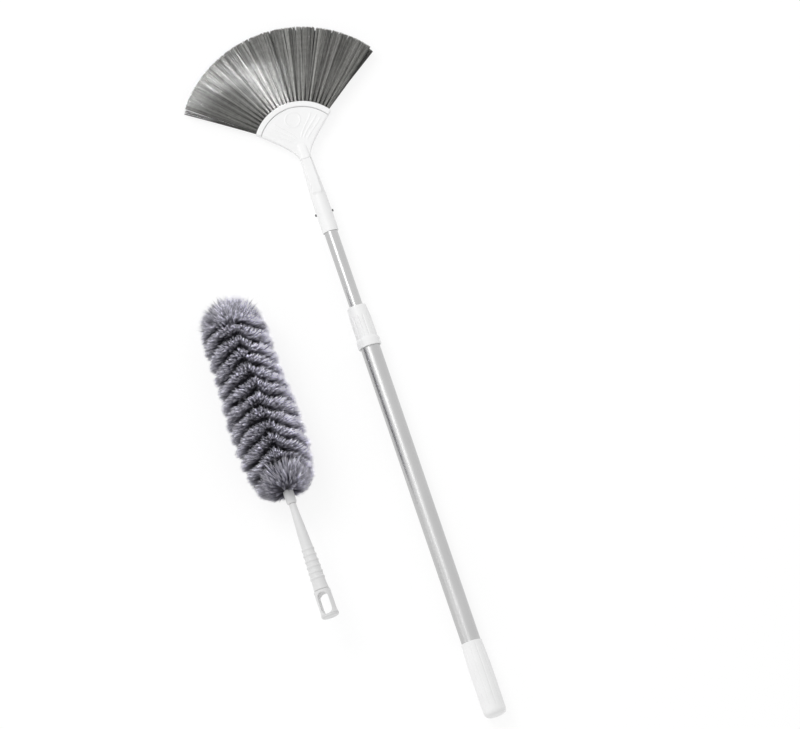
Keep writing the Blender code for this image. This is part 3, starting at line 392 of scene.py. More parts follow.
# drawn metal: lines along it, and gloss that varies with them
def drawnMetal(name, colour, roughness, lineStrength, lineDepth):
    look, tree, shader = newMaterial(name)
    tone = useGroup(tree, mottle, Color=(*colour, 1), Amount=0.03, Scale=16.0)
    lines = useGroup(tree, drawnLines, Scale=1500.0, Strength=lineStrength)
    gloss = useGroup(tree, handling, Amount=0.12, Scale=50.0)
    spread = addNode(
        tree, "ShaderNodeMapRange", To_Min=roughness - lineDepth, To_Max=roughness + lineDepth
    )
    shader.inputs["Metallic"].default_value = 1.0
    connect(
        tree,
        (lines, "Value", spread, "Value"),
        (spread, "Result", gloss, "Roughness"),
        (tone, "Color", shader, "Base Color"),
        (gloss, "Roughness", shader, "Roughness"),
        (lines, "Normal", shader, "Normal"),
    )
    return look


# strands: colours from root to tip along each one, times its own shade value, which holds random
# tone and painted shade and dims its gloss too
def strandLook(name, stops, roughness, specular, sheen=0.0):
    look, tree, shader = newMaterial(name)
    along = addNode(tree, "ShaderNodeAttribute", attribute_name="along")
    shade = addNode(tree, "ShaderNodeAttribute", attribute_name="shade")
    ramp = addNode(tree, "ShaderNodeValToRGB")
    ramp.color_ramp.elements.remove(ramp.color_ramp.elements[1])
    ramp.color_ramp.elements[0].position = stops[0][0]
    ramp.color_ramp.elements[0].color = (*stops[0][1], 1)
    for place, colour in stops[1:]:
        ramp.color_ramp.elements.new(place).color = (*colour, 1)
    tone = useGroup(tree, mottle, Amount=0.12, Scale=180.0)
    scaled = addNode(tree, "ShaderNodeVectorMath", operation="SCALE")
    gloss = useGroup(tree, handling, Roughness=roughness, Amount=0.1, Scale=200.0)
    shine = addNode(tree, "ShaderNodeMath", operation="MULTIPLY")
    shine.inputs[1].default_value = specular
    shader.inputs["Sheen Weight"].default_value = sheen
    connect(
        tree,
        (along, "Fac", ramp, "Fac"),
        (ramp, "Color", tone, "Color"),
        (tone, "Color", scaled, 0),
        (shade, "Fac", scaled, "Scale"),
        (scaled, 0, shader, "Base Color"),
        (gloss, "Roughness", shader, "Roughness"),
        (shade, "Fac", shine, 0),
        (shine, 0, shader, "Specular IOR Level"),
    )
    return look


whitePlastic = plastic("whitePlastic", (0.86, 0.86, 0.86), 0.42)
palePlastic = plastic("palePlastic", (0.71, 0.71, 0.71), 0.40)
ferrulePlastic = plastic("ferrulePlastic", (0.66, 0.66, 0.66), 0.40)
naturalNylon = plastic("naturalNylon", (0.72, 0.72, 0.68), 0.50, cloud=0.04)
darkPlastic = plastic("darkPlastic", (0.12, 0.12, 0.12), 0.40, cloud=0.08)
satinTube = drawnMetal("satinTube", (0.52, 0.52, 0.52), 0.36, 0.05, 0.05)
brightTube = drawnMetal("brightTube", (0.54, 0.54, 0.54), 0.24, 0.03, 0.04)
springSteel = drawnMetal("springSteel", (0.5, 0.5, 0.5), 0.30, 0.08, 0.06)
# the bristles darken towards the root: painted shade at the base between the tufts
greyBristle = strandLook(
    "greyBristle",
    [(0.0, (0.17, 0.17, 0.16)), (0.25, (0.32, 0.32, 0.30)), (1.0, (0.42, 0.42, 0.40))],
    0.23, 0.72,
)
# the fibres' near-black roots are painted shade deep in the fluff
greyFibre = strandLook(
    "greyFibre",
    [(0.0, (0.010, 0.009, 0.016)), (0.55, (0.075, 0.072, 0.095)), (0.8, (0.28, 0.275, 0.325)),
     (0.93, (0.62, 0.61, 0.67)), (1.0, (0.93, 0.92, 0.97))],
    0.75, 0.3, sheen=0.15,
)
# painted shade: a near-black surface inside the fluff, where there is only shadow
fluffShadeCore = plastic("fluffShadeCore", (0.02, 0.019, 0.027), 0.9, cloud=0.3, grainStrength=0.6)

innerLooks = {
    "collet": naturalNylon, "squeeze_ring": naturalNylon, "guide_ring": naturalNylon,
    "guide_plug": naturalNylon, "button_spring": springSteel, "core_wire": springSteel,
    "core_tip_cap": ferrulePlastic,
}
for nodeName, look in innerLooks.items():
    nodes[nodeName].data.materials.clear()
    nodes[nodeName].data.materials.append(look)
print("materials made")


# pole: grip, tubes and lock collar

# lands and grooves outside a bore, as a shape for turned: each sector of the circle is flat,
# r / cos(a), over its middle half, and sinks from there to r - groove at its sides; the lands
# fade in over a length at both ends
def landShape(count, groove, bore, foot, top, fade):
    half = math.pi / count

    def shape(angle, radius, height):
        across = np.abs((angle + half) % (2 * half) - half)
        ditch = smoothStep(2 * across / half - 1)
        landed = radius / np.cos(across) * (1 - ditch) + (radius - groove) * ditch
        shown = smoothStep((height - foot) / fade) * smoothStep((top - height) / fade)
        shown = shown * (radius > bore + 1e-4)
        return radius + (landed - radius) * shown

    return shape


gripSize = {
    "length": 0.110, "radius": 0.0163, "mouth": 0.0149, "taper": 0.040, "floor": 0.006,
    "bore": 0.0141, "lands": 12, "landSteps": 16, "groove": 0.0005, "landFoot": 0.0075,
    "landGap": 0.0015, "landFade": 0.006, "span": 0.004,
    "cuts": (0.001, 0.008, 0.008, 0.0004, 0.0002, 0.0005, 0.001),
}


# a closed sleeve turned round the pole's axis, with flat lands outside
def makeGrip(s):
    profile = softened(
        [(0, 0), (s["radius"], 0), (s["radius"], s["length"] - s["taper"]),
         (s["mouth"], s["length"]), (s["bore"], s["length"]), (s["bore"], s["floor"]),
         (0, s["floor"])],
        s["cuts"],
    )
    landTop = s["length"] - s["landGap"]
    shape = landShape(s["lands"], s["groove"], s["bore"], s["landFoot"], landTop, s["landFade"])
    steps = s["lands"] * s["landSteps"]
    mesh = turnedMesh("grip_shell", refined(profile, s["span"]), poleSeat, steps, shape)
    addPiece("grip_shell", mesh, whitePlastic, "outer_pole", "grip")


outerTubeSize = {"radius": 0.0138, "wall": 0.0010, "foot": "tubeFoot", "top": "tubeMouth"}
innerTubeSize = {"radius": 0.0096, "wall": 0.0009, "foot": "innerFoot", "top": "innerTop"}
buttonHole = {"radius": 0.0022, "tubeReach": 0.014, "socketReach": 0.016, "steps": 32}


# a round bar across the pole at the buttons' height, to cut their holes
def buttonBar(reach):
    radius = buttonHole["radius"]
    profile = np.array([(0, -reach), (radius, -reach), (radius, reach), (0, reach)])
    points, faces = turned(profile, buttonHole["steps"])
    x, y, z = points.T
    points = np.stack([z, y, poleStation["buttons"] - x], -1)
    return meshFrom("bar", lay(points, poleSeat), faces)


# a thin wall with softened edges, turned round the pole's axis
def makeTube(s, name, look, body, node, holes=None):
    foot, top = poleStation[s["foot"]], poleStation[s["top"]]
    radius, bore = s["radius"], s["radius"] - s["wall"]
    profile = softened([(radius, foot), (radius, top), (bore, top), (bore, foot)],
                       [s["wall"] / 4] * 4, steps=3, loop=True)
    mesh = turnedMesh(name, profile, poleSeat)
    if holes:
        mesh = cutFrom(mesh, holes)
    addPiece(name, mesh, look, body, node, sharp=60)


collarSize = {
    "radius": 0.0166, "waist": 0.0149, "mouth": 0.0136, "throat": 0.0102, "ringSeat": 0.0131,
    "flangeBore": 0.0141, "rim": 0.0015, "drop": 0.018, "ringTop": 0.5951, "flangeTop": 0.5681,
    "flutes": 12, "fluteSteps": 16, "flute": 0.0007, "fluteRise": 0.004, "fluteFade": 0.003,
    "span": 0.002,
    "cuts": (0.0012, 0.0010, 0.0010, 0.006, 0.0015, 0.0004, 0.0003, 0.0003, 0.0003, 0.0003,
             0.0004),
}


# flange, fluted waist and tapered mouth, turned round the pole's axis with a stepped bore
def makeCollar(s):
    foot, top = poleStation["collarFoot"], poleStation["collarTop"]
    rim, step = s["rim"], s["flangeTop"]
    shoulder = top - s["drop"]
    corners = [
        (s["radius"], foot), (s["radius"], step - rim), (s["waist"], step + rim),
        (s["waist"], shoulder), (s["mouth"], top), (s["throat"], top),
        (s["throat"], s["ringTop"]), (s["ringSeat"], s["ringTop"]), (s["ringSeat"], step),
        (s["flangeBore"], step), (s["flangeBore"], foot),
    ]
    profile = softened(corners, s["cuts"], loop=True)
    profile = refined(np.vstack([profile, profile[:1]]), s["span"])[:-1]
    shape = landShape(
        s["flutes"], s["flute"], s["flangeBore"], step + rim, shoulder + s["fluteRise"],
        s["fluteFade"],
    )
    steps = s["flutes"] * s["fluteSteps"]
    mesh = turnedMesh("lock_collar_shell", profile, poleSeat, steps, shape)
    addPiece("lock_collar_shell", mesh, whitePlastic, "collar", "lock_collar",
             sharp=60)


makeGrip(gripSize)
makeTube(outerTubeSize, "outer_tube_shell", satinTube, "outer_pole", "outer_tube")
makeCollar(collarSize)
makeTube(innerTubeSize, "inner_tube_shell", brightTube, "inner_pole", "inner_tube",
         holes=buttonBar(buttonHole["tubeReach"]))
print("pole made")


# socket and snap buttons

socketSize = {
    "foot": 0.0115, "belly": 0.0117, "neck": 0.0084, "bellyShare": 0.38, "bore": 0.0099,
    "floorGap": 0.0003, "spineFoot": 0.058, "spineHalf": 0.00625, "spineProud": 0.0012,
    "spineRound": 0.0005, "spineBlend": 0.0003, "tongueHalf": 0.0052, "tongueDepth": 0.003,
    "tongueRound": 0.0004, "tongue": 0.028, "hair": 0.00001, "skin": 0.002, "span": 0.002,
    "cuts": (0.001, 0.0003, 0.0002, 0.0008, 0.018, 0.0003, 0.00005, 0.0004, 0.001),
}


def makeSocket(s):
    foot, top = poleStation["socketFoot"], poleStation["socketTop"]
    floor = poleStation["innerTop"] + s["floorGap"]
    belly = foot + (top - foot) * s["bellyShare"]
    tongueTop = top + s["tongue"]
    profile = softened(
        [(0, floor), (s["bore"], floor), (s["bore"], foot), (s["foot"], foot), (s["belly"], belly),
         (s["neck"], top), (s["tongueHalf"], top + s["hair"]), (s["tongueHalf"], tongueTop),
         (0, tongueTop)],
        s["cuts"],
    )
    spineFoot = foot + s["spineFoot"]

    # round where plain; a box joined on where the spine runs: the nearer of depth / |sin a|
    # and half width / |cos a|; the tongue is such a box alone
    def shape(angle, radius, height):
        cos, sin = np.abs(np.cos(angle)) + 1e-6, np.abs(np.sin(angle)) + 1e-6
        share = (height - spineFoot) / (top - spineFoot)
        depth = s["belly"] + (s["neck"] + s["spineProud"] - s["belly"]) * share
        spine = softMin(depth / sin, s["spineHalf"] / cos, s["spineRound"])
        ridged = softMax(radius + 0 * spine, spine, s["spineBlend"])
        outside = radius > s["bore"] - s["skin"]
        joined = outside & (height > spineFoot) & (height < top + s["hair"] / 10)
        tongue = softMin(s["tongueDepth"] / sin, s["tongueHalf"] / cos, s["tongueRound"])
        plain = np.where(joined, ridged, radius + 0 * angle)
        isTongue = (height > top) & (radius > 0)
        return np.where(isTongue, tongue * radius / s["tongueHalf"], plain)

    mesh = turnedMesh(
        "head_socket_shell", refined(profile, s["span"]), poleSeat, 2 * roundSteps, shape
    )
    mesh = cutFrom(mesh, buttonBar(buttonHole["socketReach"]))
    addPiece("head_socket_shell", mesh, whitePlastic, "inner_pole", "head_socket",
             sharp=50)


buttonSize = {
    "radius": 0.0019, "tip": 0.0135, "head": 0.0032, "headThick": 0.0008, "headFace": 0.00779,
    "steps": 40, "cuts": (0.001, 0.0002, 0.0002, 0.0001, 0.0012, 0.001),
}


# a domed pin with a wide head, turned about x to the left or the right side
def makeButton(s, side, name, body, node):
    face = s["headFace"]
    back = face - s["headThick"]
    profile = softened(
        [(0, back), (s["head"], back), (s["head"], face), (s["radius"], face),
         (s["radius"], s["tip"]), (0, s["tip"])],
        s["cuts"],
    )
    points, faces = turned(profile, s["steps"])
    x, y, z = points.T
    points = np.stack([side * z, y, poleStation["buttons"] - side * x], -1)
    mesh = meshFrom(name, lay(points, poleSeat), faces)
    addPiece(name, mesh, darkPlastic, body, node)


makeSocket(socketSize)
makeButton(buttonSize, 1, "snap_button_right_cap", "right_button", "snap_button_right")
makeButton(buttonSize, -1, "snap_button_left_cap", "left_button", "snap_button_left")
print("socket made")


# fan plate

fanSize = {
    "radius": 0.1745, "spread": math.radians(49.4), "plateSpread": math.radians(54.4),
    "band": 0.068, "plate": 0.0600, "neckHalf": 0.0078, "neckFoot": -0.0157, "lead": 0.035,
    "leadAngle": math.radians(42.0), "drop": 0.014,
}


# the plate's lower right edge: a cubic curve from the band's corner to the neck, drawn by a
# lead at the corner and a drop at the neck, each weighted by powers of t and 1 - t
def plateEdge(share):
    s = fanSize
    corner = np.array([math.sin(s["plateSpread"]), math.cos(s["plateSpread"])]) * s["band"]
    lead = np.array([math.cos(s["leadAngle"]), math.sin(s["leadAngle"])]) * s["lead"]
    neck = np.array([s["neckHalf"], s["neckFoot"]])
    t = np.asarray(share)[..., None]
    return (
        corner * (1 - t) ** 3 + (corner - lead) * 3 * (1 - t) ** 2 * t
        + (neck + [0, s["drop"]]) * 3 * (1 - t) * t**2 + neck * t**3
    )


# the share of that edge at which it comes within a radius of the fan's centre
def edgeShare(radius):
    shares = np.linspace(0, 0.5, 4001)
    reach = np.linalg.norm(plateEdge(shares), axis=1)
    return np.interp(-radius, -reach, shares)


coverSize = {
    "depth": 0.0055, "wall": 0.0022, "ceiling": 0.0035, "parting": 0.00015, "middle": 0.012,
    "edgeRound": 0.0011, "rim": 0.0012, "humpTop": 0.0083, "humpHigh": 0.0096,
    "humpHalf": 0.00625, "humpEdge": 0.0005, "humpRound": 0.0010,
    "ribHigh": 0.00045, "ribHalf": 0.0010, "ribFoot": 0.015, "ribRun": 0.0375, "ribSlant": 0.93,
    "ribStart": -0.05, "ribFadeIn": 0.15, "ribEnd": 1.03, "ribFadeOut": 0.08,
    "ribSweeps": ((12.0, 31.0), (26.0, 40.0), (44.0, 48.0)), "ringRadius": 0.0105, "ringAt": 0.043,
    "edgeRun": 0.07, "rows": 118, "columns": 171, "swell": 1.3,
    "insets": (0, 0.00004, 0.00015, 0.00032, 0.00055, 0.0008, 0.0011, 0.0015),
}


# the plate's height over its middle plane at any point: a flat face with a rounded edge, a
# raised neck, curved ribs and a plain ring
def plateHeight(s, x, y, inset):
    edge = s["edgeRound"]
    near = np.clip(inset, 0, edge)
    height = s["depth"] - edge + np.sqrt(edge**2 - (edge - near) ** 2)
    radius, angle = np.hypot(x, y), np.degrees(np.arctan2(x, y))
    share = (radius - s["ribFoot"]) / s["ribRun"]
    relief = np.exp(-((np.hypot(x, y - s["ringAt"]) - s["ringRadius"]) / s["ribHalf"]) ** 4)
    ends = (smoothStep((share - s["ribStart"]) / s["ribFadeIn"])
            * smoothStep((s["ribEnd"] - share) / s["ribFadeOut"]))
    for inner, outer in s["ribSweeps"]:
        turn = inner + (outer - inner) * np.sin(np.clip(share, 0, 1) * math.pi / 2)
        off = radius * np.radians(np.abs(angle) - turn) * s["ribSlant"]
        relief = np.maximum(relief, np.exp(-((off / s["ribHalf"]) ** 4)) * ends)
    relief = relief * smoothStep((inset - s["rim"]) / s["rim"])
    up = (y - fanSize["neckFoot"]) / (s["humpTop"] - fanSize["neckFoot"])
    crown = s["humpHigh"] + (s["depth"] - s["humpHigh"]) * np.clip(up, 0, 1)
    side = smoothStep((s["humpHalf"] + s["humpEdge"] - np.abs(x)) / (2 * s["humpEdge"]))
    crown = crown - s["humpRound"] * (np.abs(x) / s["humpHalf"]) ** 4
    raised = np.maximum((crown - height) * side, 0)
    return height + raised + s["ribHigh"] * relief * (1 - side * (up < 1))


# rows v from 0 at the band to 1 at the neck run from edge to edge at y = the edge's own y plus a
# bulge times (1 - v)^swell, with points crowded near the edges; the rim drops to the parting
# plane, runs in by the wall, and rises to a flat ceiling
def makeCover(s, side, name, node):
    plate, centre = fanSize["plate"], poleStation["fanCentre"]
    insets = np.array(s["insets"])
    reach = insets[-1]
    shares = edgeShare(plate)
    v = np.concatenate([
        insets / s["edgeRun"], np.linspace(reach / s["edgeRun"], 1, s["rows"])[1:]
    ])
    edge = plateEdge(shares + (1 - shares) * v)
    half, low = edge[:, :1], edge[:, 1:]
    slope = np.gradient(edge, axis=0)
    facing = np.abs(slope[:, 1:]) / np.linalg.norm(slope, axis=1, keepdims=True)
    inner = np.linspace(-1, 1, s["columns"])[1:-1] * (half - reach)
    x = np.concatenate([insets - half, inner, half - insets[::-1]], axis=1)
    swell = np.sqrt(plate**2 - (x / half * half[0]) ** 2) - low[0]
    y = low + swell * (1 - v[:, None]) ** s["swell"]
    inset = np.minimum((half - np.abs(x)) * facing, plate - np.hypot(x, y))
    top = np.stack([x, side * plateHeight(s, x, y, inset), centre + y], -1)
    rows, cols = x.shape
    index = np.arange(rows * cols).reshape(rows, cols)
    rim = np.concatenate([index[0, :-1], index[:-1, -1], index[-1, :0:-1], index[:0:-1, 0]])
    outline = top.reshape(-1, 3)[rim]
    off = outline - np.array([0, 0, centre + s["middle"]])
    off[:, 1] = 0
    drawn = outline - unit(off) * s["wall"]
    rings = [
        np.column_stack([ring[:, 0], np.full(len(rim), side * level), ring[:, 2]])
        for ring, level in ((outline, s["parting"]), (drawn, s["parting"]), (drawn, s["ceiling"]))
    ]
    ringIndex = np.vstack([
        rim, *[rows * cols + len(rim) * i + np.arange(len(rim)) for i in range(3)]
    ])
    low, high = ringIndex[:-1], ringIndex[1:]
    walls = np.stack([low, high, np.roll(high, -1, 1), np.roll(low, -1, 1)], -1).reshape(-1, 4)
    faces = [gridFaces(rows, cols, wrapCols=False), walls, ringIndex[-1][None, :]]
    points = np.vstack([top.reshape(-1, 3), *rings])
    if side > 0:
        faces = [face[:, ::-1] for face in faces]
    mesh = meshFrom(name, lay(points, poleSeat), faces)
    addPiece(name, mesh, whitePlastic, "inner_pole", node, sharp=60)


bandSize = {
    "depth": 0.0075, "seatGap": 0.0003, "cuts": (0.0018, 0.0014, 0.0014, 0.0018),
    "edgeSteps": 60, "steps": 161, "endRound": 0.0012, "endSteps": 6,
}


# the band: a rounded section of radius and depth swept along the fan's arc, each radius
# ending where the plate's edge crosses it
def makeBand(s):
    seat = fanSize["plate"] + s["seatGap"]
    outer, depth = fanSize["band"], s["depth"]
    section = softened(
        [(seat, -depth), (outer, -depth), (outer, depth), (seat, depth)], s["cuts"], loop=True
    )
    edge = plateEdge(np.linspace(0, edgeShare(seat), s["edgeSteps"]))
    edgeRadius, edgeAngle = np.linalg.norm(edge, axis=1), np.arctan2(edge[:, 0], edge[:, 1])
    ends = np.interp(-section[:, 0], -edgeRadius, edgeAngle)
    # rows from one end to the other: w is the share of the half angle, shrink is the inset
    turn = np.linspace(0, math.pi / 2, s["endSteps"])
    back = s["endRound"] * (1 - np.sin(turn))
    drawn = s["endRound"] * (1 - np.cos(turn))
    inner = np.linspace(-1, 1, s["steps"])[2:-2]
    w = np.concatenate([-np.ones(s["endSteps"]), inner, np.ones(s["endSteps"])])
    offset = np.concatenate([back[::-1], 0 * inner, -back])
    shrink = np.concatenate([drawn[::-1], 0 * inner, drawn])
    middle = section.mean(0)
    spread = section - middle
    grown = middle + spread * (1 - shrink[:, None, None] / np.abs(spread).max(0))
    angle = w[:, None] * ends + offset[:, None] / outer
    radius, deep = grown[..., 0], grown[..., 1]
    height = radius * np.cos(angle) + poleStation["fanCentre"]
    points = np.stack([radius * np.sin(angle), deep, height], -1)
    rows, cols = angle.shape
    caps = np.stack([np.arange(cols)[::-1], np.arange(cols) + (rows - 1) * cols])
    mesh = meshFrom(
        "tuft_block_shell", lay(points.reshape(-1, 3), poleSeat), [gridFaces(rows, cols), caps]
    )
    addPiece("tuft_block_shell", mesh, whitePlastic, "inner_pole", "tuft_block",
             sharp=60)


makeCover(coverSize, -1, "fan_front_shell", "fan_front_cover")
makeCover(coverSize, 1, "fan_back_shell", "fan_back_cover")
makeBand(bandSize)
print("fan plate made")


# strands

# a three-sided spike along each path: corner j of ring i lies at the path's point i plus its
# width times (cos(120 j) side + sin(120 j) up), and the last point is the tip
def spikes(name, path, width, shade, seat):
    count, joints = path.shape[:2]
    run = unit(path[:, -1] - path[:, 0])
    other = np.where(np.abs(run[:, 2:]) < 0.9, [0.0, 0.0, 1.0], [1.0, 0.0, 0.0])
    side = unit(np.cross(run, other))[:, None]
    up = np.cross(run[:, None], side)
    turn = dice.uniform(0, math.tau, (count, 1, 1)) + (np.arange(3) * math.tau / 3)[:, None]
    ring = np.cos(turn) * side + np.sin(turn) * up
    shaft = path[:, :-1, None] + width[:, :-1, None, None] * ring[:, None]
    points = np.concatenate([shaft.reshape(count, -1, 3), path[:, -1:]], axis=1)
    stride = points.shape[1]
    last = np.arange(3) + 3 * (joints - 2)
    quads = gridFaces(joints - 1, 3)
    tris = np.stack([last, np.roll(last, -1), np.full(3, stride - 1)], -1)
    tris = np.vstack([tris, [[0, 2, 1]]])
    start = (np.arange(count) * stride)[:, None, None]
    quads, tris = (quads + start).reshape(-1, 4), (tris + start).reshape(-1, 3)
    mesh = meshFrom(name, lay(points.reshape(-1, 3), seat), [quads, tris])
    steps = np.concatenate([np.repeat(np.arange(joints - 1) / (joints - 1), 3), [1.0]])
    for label, values in (("along", np.tile(steps, count)), ("shade", np.repeat(shade, stride))):
        attribute = mesh.attributes.new(label, "FLOAT", "POINT")
        attribute.data.foreach_set("value", values.astype(np.float32))
    return mesh


# fan bristles

bristleSize = {
    "strands": 250, "tuftHalf": 0.0017, "rowHalf": 0.0023, "rowOffset": 0.0034, "sunk": 0.0025,
    "tipOffset": 0.0082, "depthSpread": 2.6, "trim": 0.0016, "lean": 0.006,
    "overlap": 1.6, "flare": 1.7, "bundles": 8, "gather": 0.35, "stray": 0.05,
    "width": 0.00019, "stops": (0, 0.022, 0.5, 0.99, 1), "thickness": (0.75, 0.8, 1.0, 1.1, 1.0),
    "turn": 0.0, "tone": 0.7, "bundleTones": (0.72, 1.28), "strandTones": (0.8, 1.2),
    "tuftTones": (0.9, 1.1), "middleTone": 1.15, "sidePaintedShade": 0.65, "leftPaintedShade": 0.3,
}
# the back row's lower tone is painted shade for the row lying behind the front one
backBristleSize = {
    **bristleSize, "tuftHalf": 0.0026, "overlap": 1.7, "tone": 0.42, "turn": math.radians(-0.8),
}


# each strand leaves its tuft at a point (a, b) of a disc and is drawn a little to its bundle;
# its angle from the tuft's middle grows as 1 - (1 - t)^flare and its depth straight, to a tip
# on the trimmed outer arc
def makeBristles(s, side, tufts, name, node):
    fan = fanSize
    pitch = 2 * fan["spread"] / (tufts - 1)
    middle = s["turn"] + np.repeat(-fan["spread"] + pitch * np.arange(tufts), s["strands"])
    count = len(middle)
    disc = np.sqrt(dice.uniform(0, 1, count))
    angle = dice.uniform(0, math.tau, count)
    a, b = disc * np.cos(angle), disc * np.sin(angle)
    bundleAt = np.sort(dice.uniform(-1, 1, (tufts, s["bundles"])), axis=1)
    tuft = np.repeat(np.arange(tufts), s["strands"])
    pick = np.abs(bundleAt[tuft] - a[:, None]).argmin(1)
    bundle = bundleAt[tuft, pick]
    tipA = a + (bundle - a) * s["gather"] + dice.normal(0, s["stray"], count)
    t = np.array(s["stops"])
    rootHalf = s["tuftHalf"] / fan["band"]
    tipHalf = pitch / 2 * s["overlap"]
    spread = rootHalf + (tipHalf - rootHalf) * (1 - (1 - t) ** s["flare"])
    share = a[:, None] + (tipA - a)[:, None] * t
    lean = dice.normal(0, s["lean"], tufts)[tuft]
    angle = middle[:, None] + share * spread + lean[:, None] * t**2
    reach = fan["radius"] - s["trim"] * dice.uniform(0, 1, count)
    foot = fan["band"] - s["sunk"]
    radius = foot + (reach - foot)[:, None] * t
    rootDepth = side * s["rowOffset"] + b * s["rowHalf"]
    tipDepth = side * s["tipOffset"] + b * s["rowHalf"] * s["depthSpread"]
    depth = rootDepth[:, None] + (tipDepth - rootDepth)[:, None] * t
    height = poleStation["fanCentre"] + radius * np.cos(angle)
    path = np.stack([radius * np.sin(angle), depth, height], -1)
    width = np.full((count, len(t)), s["width"]) * np.array(s["thickness"])
    shade = dice.uniform(*s["bundleTones"], (tufts, s["bundles"]))[tuft, pick]
    shade = shade * dice.uniform(*s["strandTones"], count)
    shade = shade * dice.uniform(*s["tuftTones"], tufts)[tuft]
    # painted shade: darker at the tuft's sides, where the gaps between tufts lie in shade, and
    # darker towards the fan's left end
    leftwards = np.minimum(middle / fan["spread"], 0)
    shade = shade * s["tone"] * (s["middleTone"] - s["sidePaintedShade"] * a**2)
    shade = shade * (1.0 + s["leftPaintedShade"] * leftwards)
    mesh = spikes(name, path, width, shade, poleSeat)
    addPiece(name, mesh, greyBristle, "inner_pole", node)


makeBristles(bristleSize, -1, 24, "bristles_front", "bristles_front_row")
makeBristles(backBristleSize, 1, 23, "bristles_back", "bristles_back_row")
print("fan bristles made")


# hand duster: cap, handle and ferrule

capSize = {
    "length": 0.040, "radius": 0.0119, "end": 0.0128, "endHigh": 0.0042, "flare": 0.009,
    "gap": 0.0003, "plug": 0.0085, "plugLength": 0.012, "span": 0.002,
    "cuts": (0.001, 0.003, 0.001, 0.002, 0.001, 0.0003, 0.0005, 0.001),
    "slotWidth": 0.0155, "slotLength": 0.0325, "slotFoot": 0.0035, "slotReach": 0.02,
    "slotRoll": math.radians(-15.0), "slotRound": 0.0006, "slotSteps": 17,
}


# a turned profile; the slot is a flat-sided oval of two half circles, run through the cap and
# rolled about z
def makeCap(s):
    neck = s["length"] - s["gap"]
    plugTop = neck + s["plugLength"]
    profile = softened(
        [(0, 0), (s["end"], 0), (s["end"], s["endHigh"]), (s["radius"], s["flare"]),
         (s["radius"], neck), (s["plug"], neck), (s["plug"], plugTop), (0, plugTop)],
        s["cuts"],
    )
    body = turnedMesh("hang_cap_shell", refined(profile, s["span"]), handSeat)
    half = s["slotWidth"] / 2
    angle = np.linspace(0, math.pi, s["slotSteps"])
    centres = (s["slotFoot"] + s["slotLength"] - half, s["slotFoot"] + half)
    x = np.concatenate([half * np.cos(angle), -half * np.cos(angle)])
    z = np.concatenate([centres[0] + half * np.sin(angle), centres[1] - half * np.sin(angle)])
    y = np.array([-1, 1])[:, None] * s["slotReach"] + 0 * x
    cos, sin = math.cos(s["slotRoll"]), math.sin(s["slotRoll"])
    slot = np.stack([x * cos - y * sin, x * sin + y * cos, z + 0 * y], -1).reshape(-1, 3)
    count = len(x)
    caps = np.stack([np.arange(count), np.arange(count)[::-1] + count])
    knife = meshFrom("slot", lay(slot, handSeat), [gridFaces(2, count)[:, ::-1], caps])
    mesh = cutFrom(body, knife, bevel=s["slotRound"])
    addPiece("hang_cap_shell", mesh, palePlastic, "hand_duster", "hang_cap",
             sharp=40)


handleSize = {
    "length": 0.132, "foot": 0.0109, "neck": 0.0050, "ridges": 6, "pitch": 0.0086,
    "ridge": 0.0009, "ridgeFoot": 0.016, "bore": 0.0088, "boreTop": 0.0523, "blend": 0.02,
    "edge": 0.001, "step": 0.0004, "stepDrop": 0.0003, "spigot": 0.0040, "spigotTop": 0.012,
    "chamfer": 0.0005, "wireBore": 0.0029, "wireDepth": 0.008, "rows": 220,
}
handleShares = (
    (0.0, 1.0), (0.08, 0.92), (0.26, 0.86), (0.485, 0.76), (0.62, 0.69), (0.76, 0.60), (0.90, 0.50),
    (1.0, handleSize["neck"] / handleSize["foot"]),
)


# the handle's radius is a table of shares of its foot, smoothed, plus rounded ring ridges
def makeHandle(s):
    foot, top = handStation["handleFoot"], handStation["handleTop"]
    shoulder = handStation["ferruleFoot"]
    height = np.linspace(foot + s["edge"], shoulder - s["step"], s["rows"])
    share = (height - foot) / s["length"]
    stretch = np.linspace(-s["blend"], s["blend"], 9)
    plain = s["foot"] * readOff(handleShares, share[:, None] + stretch).mean(1)
    step = (height - foot - s["ridgeFoot"]) / s["pitch"]
    onRidge = (step > 0) & (step < s["ridges"])
    ridge = np.clip(np.sin((step % 1) * math.tau), 0, 1) ** 0.8 * onRidge * s["ridge"]
    outside = np.column_stack([plain + ridge, height])
    start = [
        (0, s["boreTop"]), (s["bore"], s["boreTop"]), (s["bore"], foot),
        (s["foot"] - s["ridge"] * 1.2, foot),
    ]
    shoulder = shoulder - s["stepDrop"]
    spigotTop, wireFoot = top + s["spigotTop"], top - s["wireDepth"]
    end = [
        (outside[-1, 0] - s["step"], shoulder), (s["spigot"], shoulder),
        (s["spigot"], spigotTop - s["chamfer"]), (s["spigot"] - s["step"], spigotTop),
        (s["wireBore"], spigotTop), (s["wireBore"], wireFoot), (0, wireFoot),
    ]
    mesh = turnedMesh("handle_shell", np.vstack([start, outside, end]), handSeat)
    addPiece("handle_shell", mesh, palePlastic, "hand_duster", "handle", sharp=50)


ferruleSize = {
    "mouth": 0.0064, "radius": 0.0074, "flare": 0.003, "bore": 0.0043,
    "cuts": (0.0006, 0.0015, 0.0006, 0.0002, 0.0002),
}


# a short sleeve that flares from the handle, turned round its axis
def makeFerrule(s):
    foot, top = handStation["ferruleFoot"], handStation["ferruleTop"]
    profile = softened(
        [(s["mouth"], foot), (s["radius"], foot + s["flare"]), (s["radius"], top),
         (s["bore"], top), (s["bore"], foot)],
        s["cuts"], loop=True,
    )
    mesh = turnedMesh("neck_ferrule_shell", profile, handSeat)
    addPiece("neck_ferrule_shell", mesh, ferrulePlastic, "hand_duster",
             "neck_ferrule", sharp=60)


makeCap(capSize)
makeHandle(handleSize)
makeFerrule(ferruleSize)
print("handle made")


# fluffy head

